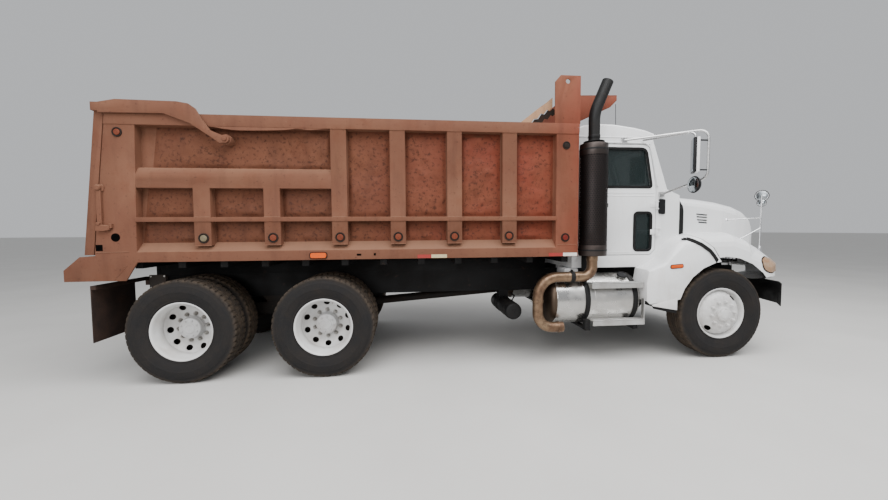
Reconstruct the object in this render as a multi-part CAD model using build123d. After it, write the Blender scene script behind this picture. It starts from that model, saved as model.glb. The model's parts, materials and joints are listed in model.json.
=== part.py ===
from build123d import *
import os
from math import cos, pi, radians, sin

# A three-axle dump truck with a conventional sloped-hood cab and a steel side-ribbed dump body.
# Millimetres. +X is forward, +Y is the truck's left side, +Z is up.
# The origin is on the ground, below the middle of the truck's length and width.

# Running gear
WHEELBASE = 5207          # front axle to the middle of the tandem
TANDEM = 1372             # between the two drive axles
TYRE_R = 523
TYRE_W = 280
RIM_R = 298.5             # rim flange
BEAD_R = 286              # where the tyre sits on the rim
RIM_W = 230               # over the flanges
DUAL_SPACING = 335        # between the middles of twin tyres
REAR_TRACK_OUT = 1220     # outer face of the outer rear tyre, from the middle
FRONT_TYRE_OUT = 1168     # outer face of the front tyre, from the middle
WHEEL_FLATS = 24          # flats round each wheel and tyre
RUNNING = 0.05            # radial clearance of a shaft in its bore
SPINDLE_R = 45

# Frame
RAIL_OUT = 432            # outer face of the rails, from the middle
RAIL_H = 270
RAIL_FLANGE = 90
RAIL_T = 10
FRAME_TOP = 1010
FRONT_OVERHANG = 957      # front axle to the bumper's face

# Cab and hood
CAB_BACK = 1733           # front axle to the cab's back wall
CAB_HALF_W = 930
CAB_FLOOR = 1065
CAB_LENGTH = 1340         # back wall to the cowl's front
CAB_WALL = 45
BELT_Z = 1985             # foot of the windows
GUTTER_Z = 2570
ROOF_Z = 2735
DOOR_REAR = 322           # back wall to the door's rear edge
DOOR_W = 712
DOOR_FOOT = 1212
DOOR_TOP = 2505
DOOR_T = 42
DOOR_GAP = 6
HOOD_GAP = 70             # rubber-sealed gap between cowl and hood

# Dump body
CAB_GAP = 70              # cab's back wall to the body's front wall
BED_LENGTH = 4811         # front wall to the foot of the rear posts
TAIL_LENGTH = 283         # rear posts' foot to the spreader apron's tip
BED_HALF_W = 1220
BED_INNER = 1120          # inside of the side sheets, from the middle
SHEET = 8
SIDE_FOOT = 1225
SIDE_TOP = 2645
LOWER_RAIL_H = 97
LOWER_RAIL_SLOPE = 88
TOP_RAIL_H = 110
RIB_W = 155
RIB_PITCH = 588
FRONT_POST_W = 250
REAR_POST_FOOT_W = 369
REAR_POST_TOP_W = 260
REAR_LEAN = 147           # how far the rear posts lean forward from foot to top
FLOOR_Z = 1283
LONG_SILL_H = 145
LONG_SILL_W = 90
CROSS_SILL_PITCH = 400
GATE_T = 80
GATE_GAP = 12
SEAT = 0.3                # what rests on another piece stands this far off it

# Where the pieces lie along X
LENGTH = FRONT_OVERHANG + CAB_BACK + CAB_GAP + BED_LENGTH + TAIL_LENGTH
bumper_x = LENGTH / 2
front_axle_x = bumper_x - FRONT_OVERHANG
mid_axle_x = front_axle_x - WHEELBASE + TANDEM / 2
rear_axle_x = mid_axle_x - TANDEM
cab_back_x = front_axle_x - CAB_BACK
cowl_x = cab_back_x + CAB_LENGTH
hood_x = cowl_x + HOOD_GAP
door_rear_x = cab_back_x + DOOR_REAR
door_front_x = door_rear_x + DOOR_W
bed_front_x = cab_back_x - CAB_GAP
bed_rear_x = bed_front_x - BED_LENGTH
tail_x = bed_rear_x - TAIL_LENGTH
axle_z = TYRE_R

# The body's rear hinge, on the ends of the frame rails
HINGE_AHEAD = 61          # hinge ahead of the rear posts' foot
HINGE_DROP = 30           # hinge below the top of the frame
hinge_x = bed_rear_x + HINGE_AHEAD
hinge_z = FRAME_TOP - HINGE_DROP
HINGE_PIN_R = 28


def box(x0, x1, y0, y1, z0, z1):
    """A block between two corners."""
    return Pos((x0 + x1) / 2, (y0 + y1) / 2, (z0 + z1) / 2) * Box(abs(x1 - x0), abs(y1 - y0), abs(z1 - z0))


def slab(points, y0, y1):
    """An outline of (x, z) points, from y0 to y1."""
    face = Face(Wire.make_polygon([Vector(x, y0, z) for x, z in points], close=True))
    return extrude(face, amount=abs(y1 - y0), dir=(0, 1 if y1 > y0 else -1, 0))


def bar(points, x0, x1):
    """An outline of (y, z) points, from x0 to x1."""
    face = Face(Wire.make_polygon([Vector(x0, y, z) for y, z in points], close=True))
    return extrude(face, amount=abs(x1 - x0), dir=(1 if x1 > x0 else -1, 0, 0))


def plate(points, z0, z1):
    """An outline of (x, y) points, from z0 to z1."""
    face = Face(Wire.make_polygon([Vector(x, y, z0) for x, y in points], close=True))
    return extrude(face, amount=z1 - z0, dir=(0, 0, 1))


def rod(start, end, radius):
    """A round bar from one point to another."""
    a, b = Vector(*start), Vector(*end)
    return Plane(origin=a, z_dir=b - a) * Cylinder(
        radius, (b - a).length, align=(Align.CENTER, Align.CENTER, Align.MIN)
    )


def mirrored(shape):
    """The same shape on the truck's other side."""
    return mirror(shape, about=Plane.XZ)


def turned(profile, x, z, flats=WHEEL_FLATS):
    """A closed profile of (radius, y) points, turned round the line along Y at (x, z) in flats."""
    def corner(radius, y, k):
        angle = 2 * pi * (k + 0.5) / flats - pi / 2
        reach = radius / cos(pi / flats)
        return Vector(x + reach * cos(angle), y, z + reach * sin(angle))

    faces = []
    for (r0, y0), (r1, y1) in zip(profile, profile[1:] + profile[:1]):
        if r0 == r1 == 0:
            continue
        if y0 == y1 and min(r0, r1) == 0:
            ring = [corner(max(r0, r1), y0, k) for k in range(flats)]
            faces.append(Face(Wire.make_polygon(ring, close=True)))
            continue
        for k in range(flats):
            quad = [corner(r0, y0, k), corner(r1, y1, k), corner(r1, y1, k + 1), corner(r0, y0, k + 1)]
            faces.append(Face(Wire.make_polygon(quad, close=True)))
    return Solid(Shell(faces))


def ring_of(shape, count, x, z, first=0.0):
    """Copies of a shape round the line along Y at (x, z)."""
    axis = Axis((x, 0, z), (0, 1, 0))
    return [shape.rotate(axis, first + 360 * k / count) for k in range(count)]


# Tyres and wheels

HUB_BORE = SPINDLE_R + RUNNING
DISC_T = 11
HAND_HOLE_R = 31
HAND_HOLE_SIDES = 8
FLANGE_T = 8              # rim flange
REAR_DISC_IN = 222        # rear bolting face, in from the outer rim's flange
REAR_HUB_IN = 132         # rear hub's end, in from the outer rim's flange
FRONT_DISC_OUT = 22       # front bolting face, out from the rim's flange
HUB_R = 108

outer_mid = REAR_TRACK_OUT - TYRE_W / 2
inner_mid = outer_mid - DUAL_SPACING
front_mid = FRONT_TYRE_OUT - TYRE_W / 2
kingpin_y = front_mid - 150
hub_in_y = inner_mid - 60
rear_bore_y = outer_mid + RIM_W / 2 - REAR_DISC_IN - 10
front_hub_in_y = front_mid - 55
front_bore_y = front_mid + RIM_W / 2 + FRONT_DISC_OUT - 60


def tyre(x, y_mid):
    """A road tyre: bore, sidewalls, shoulders and tread."""
    half = TYRE_W / 2
    bead = RIM_W / 2 - FLANGE_T - 7
    upper = [
        (BEAD_R + SEAT, bead), (RIM_R + 1, RIM_W / 2 - FLANGE_T - 1), (TYRE_R - 120, half),
        (TYRE_R - 38, half - 18), (TYRE_R, half - 42),
    ]
    profile = [(r, y_mid - y) for r, y in upper] + [(r, y_mid + y) for r, y in upper[::-1]]
    return turned(profile, x, axle_z)


def rim_seat(y_mid):
    """The outside of a rolled rim that a tyre sits on, from its outer flange to its inner one."""
    half = RIM_W / 2
    side = [
        (BEAD_R - 12, half - 10), (RIM_R, half), (RIM_R, half - FLANGE_T), (BEAD_R, half - FLANGE_T - 6),
    ]
    return [(r, y_mid + y) for r, y in side] + [(r, y_mid - y) for r, y in side[::-1]]


def hand_holes(x, y0, y1, circle, count, radius, first=0.0):
    """Ventilation holes of a wheel disc."""
    outline = RegularPolygon(radius, HAND_HOLE_SIDES)
    hole = Pos(x, y0, axle_z + circle) * Rot(X=-90) * extrude(outline, amount=y1 - y0)
    return ring_of(hole, count, x, axle_z, first)


def rear_wheels(x):
    """Twin rims with their discs bolted back to back on the hub, left side, as one turned body."""
    face = outer_mid + RIM_W / 2 - REAR_DISC_IN
    hub_end = outer_mid + RIM_W / 2 - REAR_HUB_IN
    inner_flange = inner_mid + RIM_W / 2
    disc_r = BEAD_R - 12
    profile = [
        (0, hub_end), (HUB_R - 12, hub_end), (HUB_R, hub_end - 14), (HUB_R, face), (186, face),
        (disc_r, face + 38),
        *rim_seat(outer_mid),
        (190, face - DISC_T), (190, face - DISC_T - 6), (BEAD_R - 14, face - 60),
        *rim_seat(inner_mid),
        (BEAD_R - 24, inner_mid), (BEAD_R - 24, inner_flange), (disc_r - 16, face - 74),
        (180, face - 3 * DISC_T),
        (HUB_R, face - 4 * DISC_T), (HUB_BORE + 30, inner_mid + 20), (HUB_BORE + 30, hub_in_y),
        (0, hub_in_y),
    ]
    shape = turned(profile, x, axle_z)
    shape -= rod((x, hub_in_y - 5, axle_z), (x, rear_bore_y, axle_z), HUB_BORE)
    return shape.cut(*hand_holes(x, face - 100, face + 60, 224, 10, HAND_HOLE_R))


def front_wheel(x):
    """A single rim with its disc turned outwards and its hub, left side, as one turned body."""
    flange = front_mid + RIM_W / 2
    face = flange + FRONT_DISC_OUT
    profile = [
        (0, face + 42), (70, face + 42), (84, face + 30), (84, face), (176, face), (190, face - 4),
        (BEAD_R - 12, flange - 52),
        *rim_seat(front_mid),
        (BEAD_R - 24, front_mid), (BEAD_R - 24, flange - 66), (176, face - DISC_T), (84, face - 60),
        (HUB_BORE + 30, face - 90), (HUB_BORE + 30, front_hub_in_y), (0, front_hub_in_y),
    ]
    shape = turned(profile, x, axle_z)
    shape -= rod((x, front_hub_in_y - 5, axle_z), (x, front_bore_y, axle_z), HUB_BORE)
    return shape.cut(*hand_holes(x, flange - 90, flange + 40, 226, 2, 28, 50))


# Frame, axles and driveline

rail_in = RAIL_OUT - RAIL_FLANGE
frame_front_x = bumper_x - 150
frame_rear_x = hinge_x + 55
BUMPER_H = 268
BUMPER_T = 12
bumper_top = 868


def rail():
    """The left frame rail, a channel open to the inside."""
    z0, z1 = FRAME_TOP - RAIL_H, FRAME_TOP
    return bar([
        (RAIL_OUT, z0), (RAIL_OUT, z1), (rail_in, z1), (rail_in, z1 - RAIL_T),
        (RAIL_OUT - RAIL_T, z1 - RAIL_T), (RAIL_OUT - RAIL_T, z0 + RAIL_T), (rail_in, z0 + RAIL_T),
        (rail_in, z0),
    ], frame_rear_x, frame_front_x)


CROSS_MEMBERS = [  # ahead of the front axle, foot and top below the frame's top, half length along X
    (760, 230, 60, 60), (-1150, 120, 10, 60), (-2350, 190, 60, 50), (-3650, 190, 60, 50),
    (-5330, 230, 60, 60), (-6350, 230, 50, 60),
]


def cross_member(ahead, foot, top, half):
    """A plate-and-flange cross member between the rails."""
    x = front_axle_x + ahead
    y = RAIL_OUT - RAIL_T - SEAT
    z0, z1 = FRAME_TOP - foot, FRAME_TOP - top
    flanges = [box(x - half, x + half, -y, y, z0, z0 + 10), box(x - half, x + half, -y, y, z1 - 10, z1)]
    return box(x - 5, x + 5, -y, y, z0, z1).fuse(*flanges)


def hinge_bracket():
    """The left rear bracket that holds the body's hinge pin, outside the rail's end."""
    y0, y1 = RAIL_OUT - RAIL_T - 40, RAIL_OUT - RAIL_T
    arm = slab([
        (frame_rear_x + 120, FRAME_TOP - 30), (frame_rear_x + 120, FRAME_TOP - RAIL_H + 20),
        (hinge_x - 20, hinge_z - 60), (hinge_x - 52, hinge_z - 20), (hinge_x - 52, hinge_z + 26),
        (hinge_x - 30, hinge_z + 28),
    ], y0, y1)
    return arm - rod((hinge_x, y0 - 5, hinge_z), (hinge_x, y1 + 5, hinge_z), HINGE_PIN_R + RUNNING)


PINTLE_Z = 850
PINTLE_PITCH_Y, PINTLE_PITCH_Z = 85.7, 44.5
PINTLE_HOLE_R = 8
PINTLE_PLATE_T = 16


def pintle_plate():
    """The plate across the frame's end, drilled for a bolted coupling."""
    x = frame_rear_x + 60
    y = RAIL_OUT - RAIL_T - SEAT
    shape = box(x, x + PINTLE_PLATE_T, -y, y, PINTLE_Z - 80, PINTLE_Z + 80)
    for side_y in (-1, 1):
        for side_z in (-1, 1):
            hole_y, hole_z = side_y * PINTLE_PITCH_Y / 2, PINTLE_Z + side_z * PINTLE_PITCH_Z / 2
            shape -= rod((x - 5, hole_y, hole_z), (x + PINTLE_PLATE_T + 5, hole_y, hole_z), PINTLE_HOLE_R)
    return shape


def frame():
    """Both rails with their brackets, the cross members between them, and the coupling plate."""
    left = rail() + hinge_bracket() + hood_hinge()
    members = [cross_member(*member) for member in CROSS_MEMBERS]
    return Compound(children=[left, mirrored(left), pintle_plate(), *members])


FRONT_BEAM_H = 100
SPRING_W = 80
SPRING_Y = RAIL_OUT - 45
KINGPIN_R = 24
EYE_H = 130
FRONT_DROP = 110          # axle beam below the wheel centres


def front_axle():
    """The dropped front beam with an eye at each end for its kingpin."""
    z = axle_z - FRONT_DROP
    half = 62
    beam = bar([
        (-kingpin_y + 130, z), (kingpin_y - 130, z), (kingpin_y - 60, axle_z - EYE_H / 2),
        (kingpin_y, axle_z - EYE_H / 2), (kingpin_y, axle_z + EYE_H / 2),
        (kingpin_y - 70, axle_z + EYE_H / 2),
        (kingpin_y - 190, z + FRONT_BEAM_H), (-kingpin_y + 190, z + FRONT_BEAM_H),
        (-kingpin_y + 70, axle_z + EYE_H / 2), (-kingpin_y, axle_z + EYE_H / 2),
        (-kingpin_y, axle_z - EYE_H / 2), (-kingpin_y + 60, axle_z - EYE_H / 2),
    ], front_axle_x - half, front_axle_x + half)
    for side in (-1, 1):
        foot = (front_axle_x, side * kingpin_y, axle_z - EYE_H / 2)
        top = (front_axle_x, side * kingpin_y, axle_z + EYE_H / 2)
        beam += rod(foot, top, half - 6)
        beam -= rod((foot[0], foot[1], foot[2] - 9), (top[0], top[1], top[2] + 9), KINGPIN_R + RUNNING)
    return beam


def knuckle():
    """The left steering knuckle: two ears on the kingpin, and the wheel's spindle."""
    z0, z1 = axle_z - EYE_H / 2, axle_z + EYE_H / 2
    ear, gap, reach = 44, 5, 66
    x = front_axle_x
    shape = box(x - 52, x + 52, kingpin_y - 46, kingpin_y + reach + 24, z1 + gap, z1 + gap + ear)
    shape += box(x - 52, x + 52, kingpin_y - 46, kingpin_y + reach + 24, z0 - gap - ear, z0 - gap)
    shape += box(x - 52, x + 52, kingpin_y + reach, kingpin_y + reach + 24, z0 - gap - ear, z1 + gap + ear)
    shape += rod((x, kingpin_y, z0 - gap - ear), (x, kingpin_y, z1 + gap + ear), KINGPIN_R)
    spindle_end = front_bore_y - 6
    shape += rod((x, kingpin_y + reach, axle_z), (x, spindle_end, axle_z), SPINDLE_R)
    arm = box(x - 190, x - 40, kingpin_y - 30, kingpin_y + 10, z0 - gap - ear, z0 - gap - ear + 26)
    return shape + arm


def leaf_pack(x_mid, z_top, half_length, leaves, leaf_t, camber):
    """A pack of spring leaves, each shorter than the one above."""
    y0, y1 = SPRING_Y - SPRING_W / 2, SPRING_Y + SPRING_W / 2
    shape = None
    for k in range(leaves):
        reach = half_length * (1 - 0.13 * k)
        z = z_top - k * leaf_t
        rise = camber * reach / half_length
        leaf = slab([
            (x_mid - reach, z + rise), (x_mid, z), (x_mid + reach, z + rise),
            (x_mid + reach, z + rise - leaf_t), (x_mid, z - leaf_t), (x_mid - reach, z + rise - leaf_t),
        ], y0, y1)
        shape = leaf if shape is None else shape + leaf
    return shape


def front_spring():
    """The left front spring, hung from the rail by its hanger and shackle, seated on the beam."""
    seat = axle_z - FRONT_DROP + FRONT_BEAM_H
    leaves, leaf_t, half, camber = 5, 18, 640, 70
    z_top = seat + SEAT + leaves * leaf_t
    pack = leaf_pack(front_axle_x, z_top, half, leaves, leaf_t, camber)
    for side in (-1, 1):
        x = front_axle_x + side * half
        pack += box(x - 45, x + 45, SPRING_Y - 30, SPRING_Y + 30, z_top + camber - 30,
            FRAME_TOP - RAIL_H - SEAT)
    return pack


AXLE_TUBE_R = 66
DIFF_R = 205
DIFF_BACK, DIFF_NOSE = 120, 330


def drive_axle(x):
    """A drive axle: its housing tube, spindles and round differential bowl."""
    inner_face = hub_in_y - 10
    shape = rod((x, -inner_face, axle_z), (x, inner_face, axle_z), AXLE_TUBE_R)
    spindle_end = rear_bore_y - 10
    shape += rod((x, -spindle_end, axle_z), (x, spindle_end, axle_z), SPINDLE_R)
    bowl = rod((x - DIFF_BACK, 0, axle_z), (x + 190, 0, axle_z), DIFF_R)
    nose = rod((x + 180, 0, axle_z + 40), (x + DIFF_NOSE, 0, axle_z + 40), 70)
    return shape + bowl + nose


def drive_axles():
    return Compound(children=[drive_axle(rear_axle_x), drive_axle(mid_axle_x)])


def tandem_spring():
    """The left tandem suspension: a saddle bracket, a leaf pack and an equalising beam on the axles."""
    x = (rear_axle_x + mid_axle_x) / 2
    y0, y1 = SPRING_Y - SPRING_W / 2, SPRING_Y + SPRING_W / 2
    top = FRAME_TOP - RAIL_H - SEAT
    seat = axle_z + AXLE_TUBE_R + SEAT
    beam = slab([
        (rear_axle_x - 90, seat), (rear_axle_x + 90, seat), (x - 170, seat - 70), (x + 170, seat - 70),
        (mid_axle_x - 90, seat), (mid_axle_x + 90, seat), (mid_axle_x + 90, seat + 55),
        (x + 120, seat + 70), (x - 120, seat + 70), (rear_axle_x - 90, seat + 55),
    ], y0, y1)
    return beam + slab([(x - 190, top), (x + 190, top), (x + 110, seat + 40), (x - 110, seat + 40)],
        y0 + 8, y1 - 8)


def suspension():
    springs = [front_spring(), tandem_spring()]
    return Compound(children=springs + [mirrored(s) for s in springs])


ENGINE_FRONT = 520        # ahead of the front axle
ENGINE_L = 880
ENGINE_W = 640
ENGINE_FOOT = 690
ENGINE_H = 900


def engine():
    """The engine as one plain block, on mounts at the rails."""
    x1 = front_axle_x + ENGINE_FRONT
    y = RAIL_OUT - RAIL_T - SEAT
    block = box(x1 - ENGINE_L, x1, -ENGINE_W / 2, ENGINE_W / 2, ENGINE_FOOT, ENGINE_FOOT + ENGINE_H)
    return block + box(x1 - 520, x1 - 400, -y, y, FRAME_TOP - 190, FRAME_TOP - 60)


SHAFT_R = 52
shaft_z = axle_z + 40


def driveline():
    """Gearbox and drive shafts, from the engine to the two axles."""
    x1 = front_axle_x + ENGINE_FRONT - ENGINE_L - SEAT
    gearbox = slab([(x1, 1010), (x1, 640), (x1 - 560, 700), (x1 - 620, 740), (x1 - 620, 900),
        (x1 - 560, 930)],
                   -190, 190)
    yoke_x = mid_axle_x + DIFF_NOSE + SEAT
    shape = gearbox + rod((x1 - 600, 0, 800), (yoke_x + 30, 0, shaft_z), SHAFT_R)
    shape += rod((yoke_x, 0, shaft_z), (yoke_x + 50, 0, shaft_z), SHAFT_R + 14)
    between = rod((mid_axle_x - DIFF_BACK - SEAT, 0, shaft_z),
        (rear_axle_x + DIFF_NOSE + SEAT, 0, shaft_z), SHAFT_R - 8)
    return Compound(children=[shape, between])


def bumper():
    """The black channel bumper with swept ends, on its two brackets."""
    z0, z1 = bumper_top - BUMPER_H, bumper_top
    x1, x0 = bumper_x, bumper_x - BUMPER_T
    outer = [(x1, 0), (x1, 700), (x1 - 95, 1040), (x1 - 250, BED_HALF_W - 12)]
    inner = [
        (x0, 0), (x0, 700), (x1 - 95 - BUMPER_T, 1040 - BUMPER_T),
        (x1 - 250 - BUMPER_T, BED_HALF_W - 12),
    ]
    left = plate(outer + inner[::-1], z0, z1)
    left += slab([
        (frame_front_x - 250, FRAME_TOP - RAIL_H + 20), (frame_front_x - 250, FRAME_TOP - 60),
        (frame_front_x - 20, FRAME_TOP - 60), (x0 + 2, z1 - 20), (x0 + 2, z0 + 60),
        (frame_front_x, z0 + 60),
    ], RAIL_OUT + SEAT, RAIL_OUT + 14)
    return left + mirrored(left)


# Tanks, steps, exhaust

TANK_R = 290
TANK_L = 1105
TANK_FRONT = 981          # front axle back to the tank's front
tank_y = RAIL_OUT + 110 + TANK_R
TANK_Z = 700
tank_x1 = front_axle_x - TANK_FRONT
tank_x0 = tank_x1 - TANK_L
STRAPS = (434, 1005)      # from the tank's rear
DOME = 28
STRAP_W = 60
STEP_REAR, STEP_FRONT = -1598, -984    # steps, ahead of the front axle
STEP_W = 104              # upper step's tread
STEP_SKIRT = 64
UPPER_STEP_Z, LOWER_STEP_Z = 915, 500
STEP_T = 12
FOOT_H = 36
FOOT_LAP = 6              # how far the strap's foot laps its ring
STEP_OUT_Y = 1190
UPPER_STEP_Y = 1056       # the upper step's inner edge


def tank():
    """The left fuel tank, a drum along the frame with domed ends."""
    x0, x1 = tank_x0, tank_x1
    shape = rod((x0 + DOME, tank_y, TANK_Z), (x1 - DOME, tank_y, TANK_Z), TANK_R)
    for x, way in ((x0 + DOME, -1), (x1 - DOME, 1)):
        dome = Plane(origin=(x, tank_y, TANK_Z), z_dir=(way, 0, 0)) * Cone(
            TANK_R, TANK_R - 36, DOME, align=(Align.CENTER, Align.CENTER, Align.MIN))
        shape += dome
    return shape


def fuel_tanks():
    left = tank()
    return Compound(children=[left, mirrored(left)])


def tank_mounts():
    """Straps and brackets that hold the left tank to the rail, and the steps over and under it."""
    strap_r = TANK_R + 8
    foot_z = TANK_Z - strap_r - FOOT_H
    pieces = []
    for reach in STRAPS:
        x0 = tank_x0 + reach
        x1 = x0 + STRAP_W
        ring = rod((x0, tank_y, TANK_Z), (x1, tank_y, TANK_Z), strap_r) - rod(
            (x0 - 1, tank_y, TANK_Z), (x1 + 1, tank_y, TANK_Z), TANK_R + SEAT)
        lug_z = UPPER_STEP_Z - STEP_T - 8
        lug_y = tank_y + (strap_r ** 2 - (lug_z - TANK_Z) ** 2) ** 0.5 - 6
        pieces += [
            ring,
            box(x0, x1, RAIL_OUT + SEAT, RAIL_OUT + 20, foot_z, FRAME_TOP - 115),
            box(x0, x1, RAIL_OUT + SEAT, tank_y + 240, foot_z, foot_z + FOOT_H + FOOT_LAP),
            box(x0, x1, tank_y + 222, STEP_OUT_Y - 70, foot_z, LOWER_STEP_Z - STEP_T + 2),
            box(x0, x1, lug_y, UPPER_STEP_Y + 10, lug_z, UPPER_STEP_Z - STEP_T + 2),
        ]
    x0, x1 = front_axle_x + STEP_REAR, front_axle_x + STEP_FRONT
    for y_in, y_out, top in ((UPPER_STEP_Y, UPPER_STEP_Y + STEP_W, UPPER_STEP_Z),
                             (STEP_OUT_Y - STEP_W, STEP_OUT_Y, LOWER_STEP_Z)):
        pieces.append(box(x0, x1, y_in, y_out, top - STEP_T, top))
        pieces.append(box(x0, x1, y_out - STEP_T, y_out, top - STEP_SKIRT, top))
    pieces.append(box(x1 - STEP_T, x1, tank_y + TANK_R + 16, STEP_OUT_Y, LOWER_STEP_Z - STEP_SKIRT,
        TANK_Z + 30))
    return pieces[0].fuse(*pieces[1:])


def steps():
    left = tank_mounts()
    return Compound(children=[left, mirrored(left)])


STACK_X = cab_back_x + 160
STACK_Y = -1100
MUFFLER_R = 150
MUFFLER_FOOT = 1232
MUFFLER_TOP = 2500
MUFFLER_BRACKET_Z = 1040
PIPE_R = 61
PIPE_WALL = 5
STACK_BEND_Z, STACK_TOP, STACK_LEAN = 2800, 3150, 150
PIPE_HIGH_Z, PIPE_LOW_Z = 984, 418
PIPE_END = 290           # the tail pipe's last run
pipe_rear_x = tank_x0 - 118


def muffler():
    """The upright muffler in its guard, on a foot that stands out from the frame."""
    body = rod((STACK_X, STACK_Y, MUFFLER_FOOT), (STACK_X, STACK_Y, MUFFLER_TOP), MUFFLER_R - 14)
    body += rod((STACK_X, STACK_Y, MUFFLER_FOOT + 150), (STACK_X, STACK_Y, MUFFLER_TOP - 210), MUFFLER_R)
    band = rod((STACK_X, STACK_Y, MUFFLER_FOOT + 20), (STACK_X, STACK_Y, MUFFLER_FOOT + 70), MUFFLER_R - 2)
    x0, x1 = STACK_X - 55, STACK_X + 55
    z0 = MUFFLER_BRACKET_Z
    shelf = box(x0, x1, STACK_Y + 134, -RAIL_OUT - 12, z0, z0 + 12)
    shelf += box(x0, x1, -RAIL_OUT - 14, -RAIL_OUT - SEAT, FRAME_TOP - 100, z0 + 12)
    shelf += box(x0, x1, STACK_Y + 132, STACK_Y + 146, z0, MUFFLER_FOOT + 120)
    return body + band + shelf


def pipe(points, radii, radius):
    """A bent tube along corners with the given bend radii."""
    path = FilletPolyline(*points, radius=radii)
    start = Vector(*points[1]) - Vector(*points[0])
    return sweep(Plane(origin=points[0], z_dir=start) * Circle(radius), path=path)


def exhaust_pipes():
    """The stack with its forward-curved outlet, and the pipe from the muffler down behind the tank."""
    top = [
        (STACK_X, STACK_Y, MUFFLER_TOP + SEAT), (STACK_X, STACK_Y, STACK_BEND_Z),
        (STACK_X + STACK_LEAN, STACK_Y, STACK_TOP),
    ]
    stack = pipe(top, [420], PIPE_R) - pipe(top, [420], PIPE_R - PIPE_WALL)
    low = [
        (STACK_X, STACK_Y, MUFFLER_FOOT - SEAT), (STACK_X, STACK_Y, PIPE_HIGH_Z),
        (pipe_rear_x, STACK_Y, PIPE_HIGH_Z),
        (pipe_rear_x, STACK_Y, PIPE_LOW_Z), (pipe_rear_x + PIPE_END, STACK_Y, PIPE_LOW_Z),
    ]
    return Compound(children=[stack, pipe(low, [116, 225, 165], PIPE_R - 3)])


def air_tank():
    """The black drum across the frame, hung from the rails behind the exhaust."""
    x = tank_x0 - 330
    drum = rod((x, -900, 560), (x, -120, 560), 100)
    hangers = [
        box(x - 60, x + 60, -y - 8, -y, 560, FRAME_TOP - RAIL_H - SEAT)
        for y in (RAIL_OUT - 10, rail_in + 30)
    ]
    return drum.fuse(*hangers)


FLAP_BEHIND = 137         # flaps behind the body's hinge


def mud_flaps():
    """Rubber flaps behind the rear tyres, on a bar across the frame's end."""
    x = hinge_x - FLAP_BEHIND
    flap = box(x - 10, x, inner_mid - TYRE_W / 2, REAR_TRACK_OUT - 30, 440, 1000)
    arm = box(x, x + 40, RAIL_OUT + SEAT, REAR_TRACK_OUT - 30, 960, 1000)
    arm += box(x, frame_rear_x + 60, RAIL_OUT + SEAT, RAIL_OUT + 12, 900, 1000)
    left = flap + arm
    return Compound(children=[left, mirrored(left)])


# Cab

cab_front_x = cowl_x
DASH_X = cowl_x - 330
pillar_foot_x = door_front_x + 112
pillar_top_x = pillar_foot_x - 178
cab_outline = [
    (cab_back_x, CAB_FLOOR), (cab_front_x - 200, CAB_FLOOR), (cab_front_x, CAB_FLOOR + 185),
    (cab_front_x, 1915), (pillar_foot_x + 30, BELT_Z), (pillar_top_x + 20, GUTTER_Z),
    (pillar_top_x + 56, GUTTER_Z + 36), (pillar_top_x + 28, GUTTER_Z + 70),
    (pillar_top_x - 90, GUTTER_Z + 108),
    (pillar_top_x - 234, ROOF_Z - 30), (pillar_top_x - 480, ROOF_Z), (cab_back_x + 300, ROOF_Z + 2),
    (cab_back_x + 120, ROOF_Z - 18), (cab_back_x + 40, ROOF_Z - 58), (cab_back_x, ROOF_Z - 130),
]


def inset(outline, by):
    """The outline of a wall's inside."""
    ring = Face(Wire.make_polygon([Vector(x, 0, z) for x, z in outline], close=True))
    wire = ring.outer_wire().offset_2d(-by, kind=Kind.INTERSECTION)
    return Face(wire)


def door_outline(grow):
    """The door's side outline, larger by a gap."""
    x0, x1 = door_rear_x - grow, door_front_x + grow
    z0, z1 = DOOR_FOOT - grow, DOOR_TOP + grow
    lean = 92
    return [(x0, z0), (x1 - 60, z0), (x1, z0 + 60), (x1, BELT_Z), (x1 - lean, z1), (x0, z1)]


def window_outline(margin):
    x0, x1 = door_rear_x + margin, door_front_x - margin
    return [(x0, BELT_Z + 30), (x1, BELT_Z + 30), (x1 - 76, DOOR_TOP - margin + 10),
        (x0, DOOR_TOP - margin + 10)]


PEEP = (265, 55, 1262, 1710)   # right door's low window: from and to the door's front edge, foot, top


def cab_shell():
    """The cab's floor, walls, cowl and roof as one thick shell, open at doors and windows."""
    shell = slab(cab_outline, -CAB_HALF_W, CAB_HALF_W)
    inner = inset(cab_outline, CAB_WALL)
    room = extrude(inner, amount=CAB_HALF_W - CAB_WALL, dir=(0, 1, 0), both=True)
    shell -= room
    opening = slab(door_outline(DOOR_GAP), -CAB_HALF_W - 5, CAB_HALF_W + 5)
    shell -= opening
    glass_h = slab([
        (pillar_foot_x - 60, BELT_Z + 60), (pillar_foot_x + 200, BELT_Z + 60),
        (pillar_top_x + 200, GUTTER_Z - 60), (pillar_top_x - 60, GUTTER_Z - 60),
    ], 45, CAB_HALF_W - 95)
    shell -= glass_h
    shell -= mirrored(glass_h)
    shell -= box(cab_back_x - 5, cab_back_x + CAB_WALL + 5, -520, 520, BELT_Z + 60, GUTTER_Z - 120)
    return shell


def cab_glass():
    """Split windscreen and back window."""
    dz = GUTTER_Z - BELT_Z
    x0, x1 = pillar_foot_x + 30 - 20, pillar_top_x + 20 - 20
    step = 60 / dz * (x1 - x0)
    z0, z1 = BELT_Z + 60, GUTTER_Z - 60
    pane = slab([(x0 + step, z0), (x0 + step + 6, z0), (x1 - step + 6, z1), (x1 - step, z1)], 45,
        CAB_HALF_W - 95)
    back = box(cab_back_x + 18, cab_back_x + 24, -520, 520, BELT_Z + 60, GUTTER_Z - 120)
    return Compound(children=[pane, mirrored(pane), back])


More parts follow.
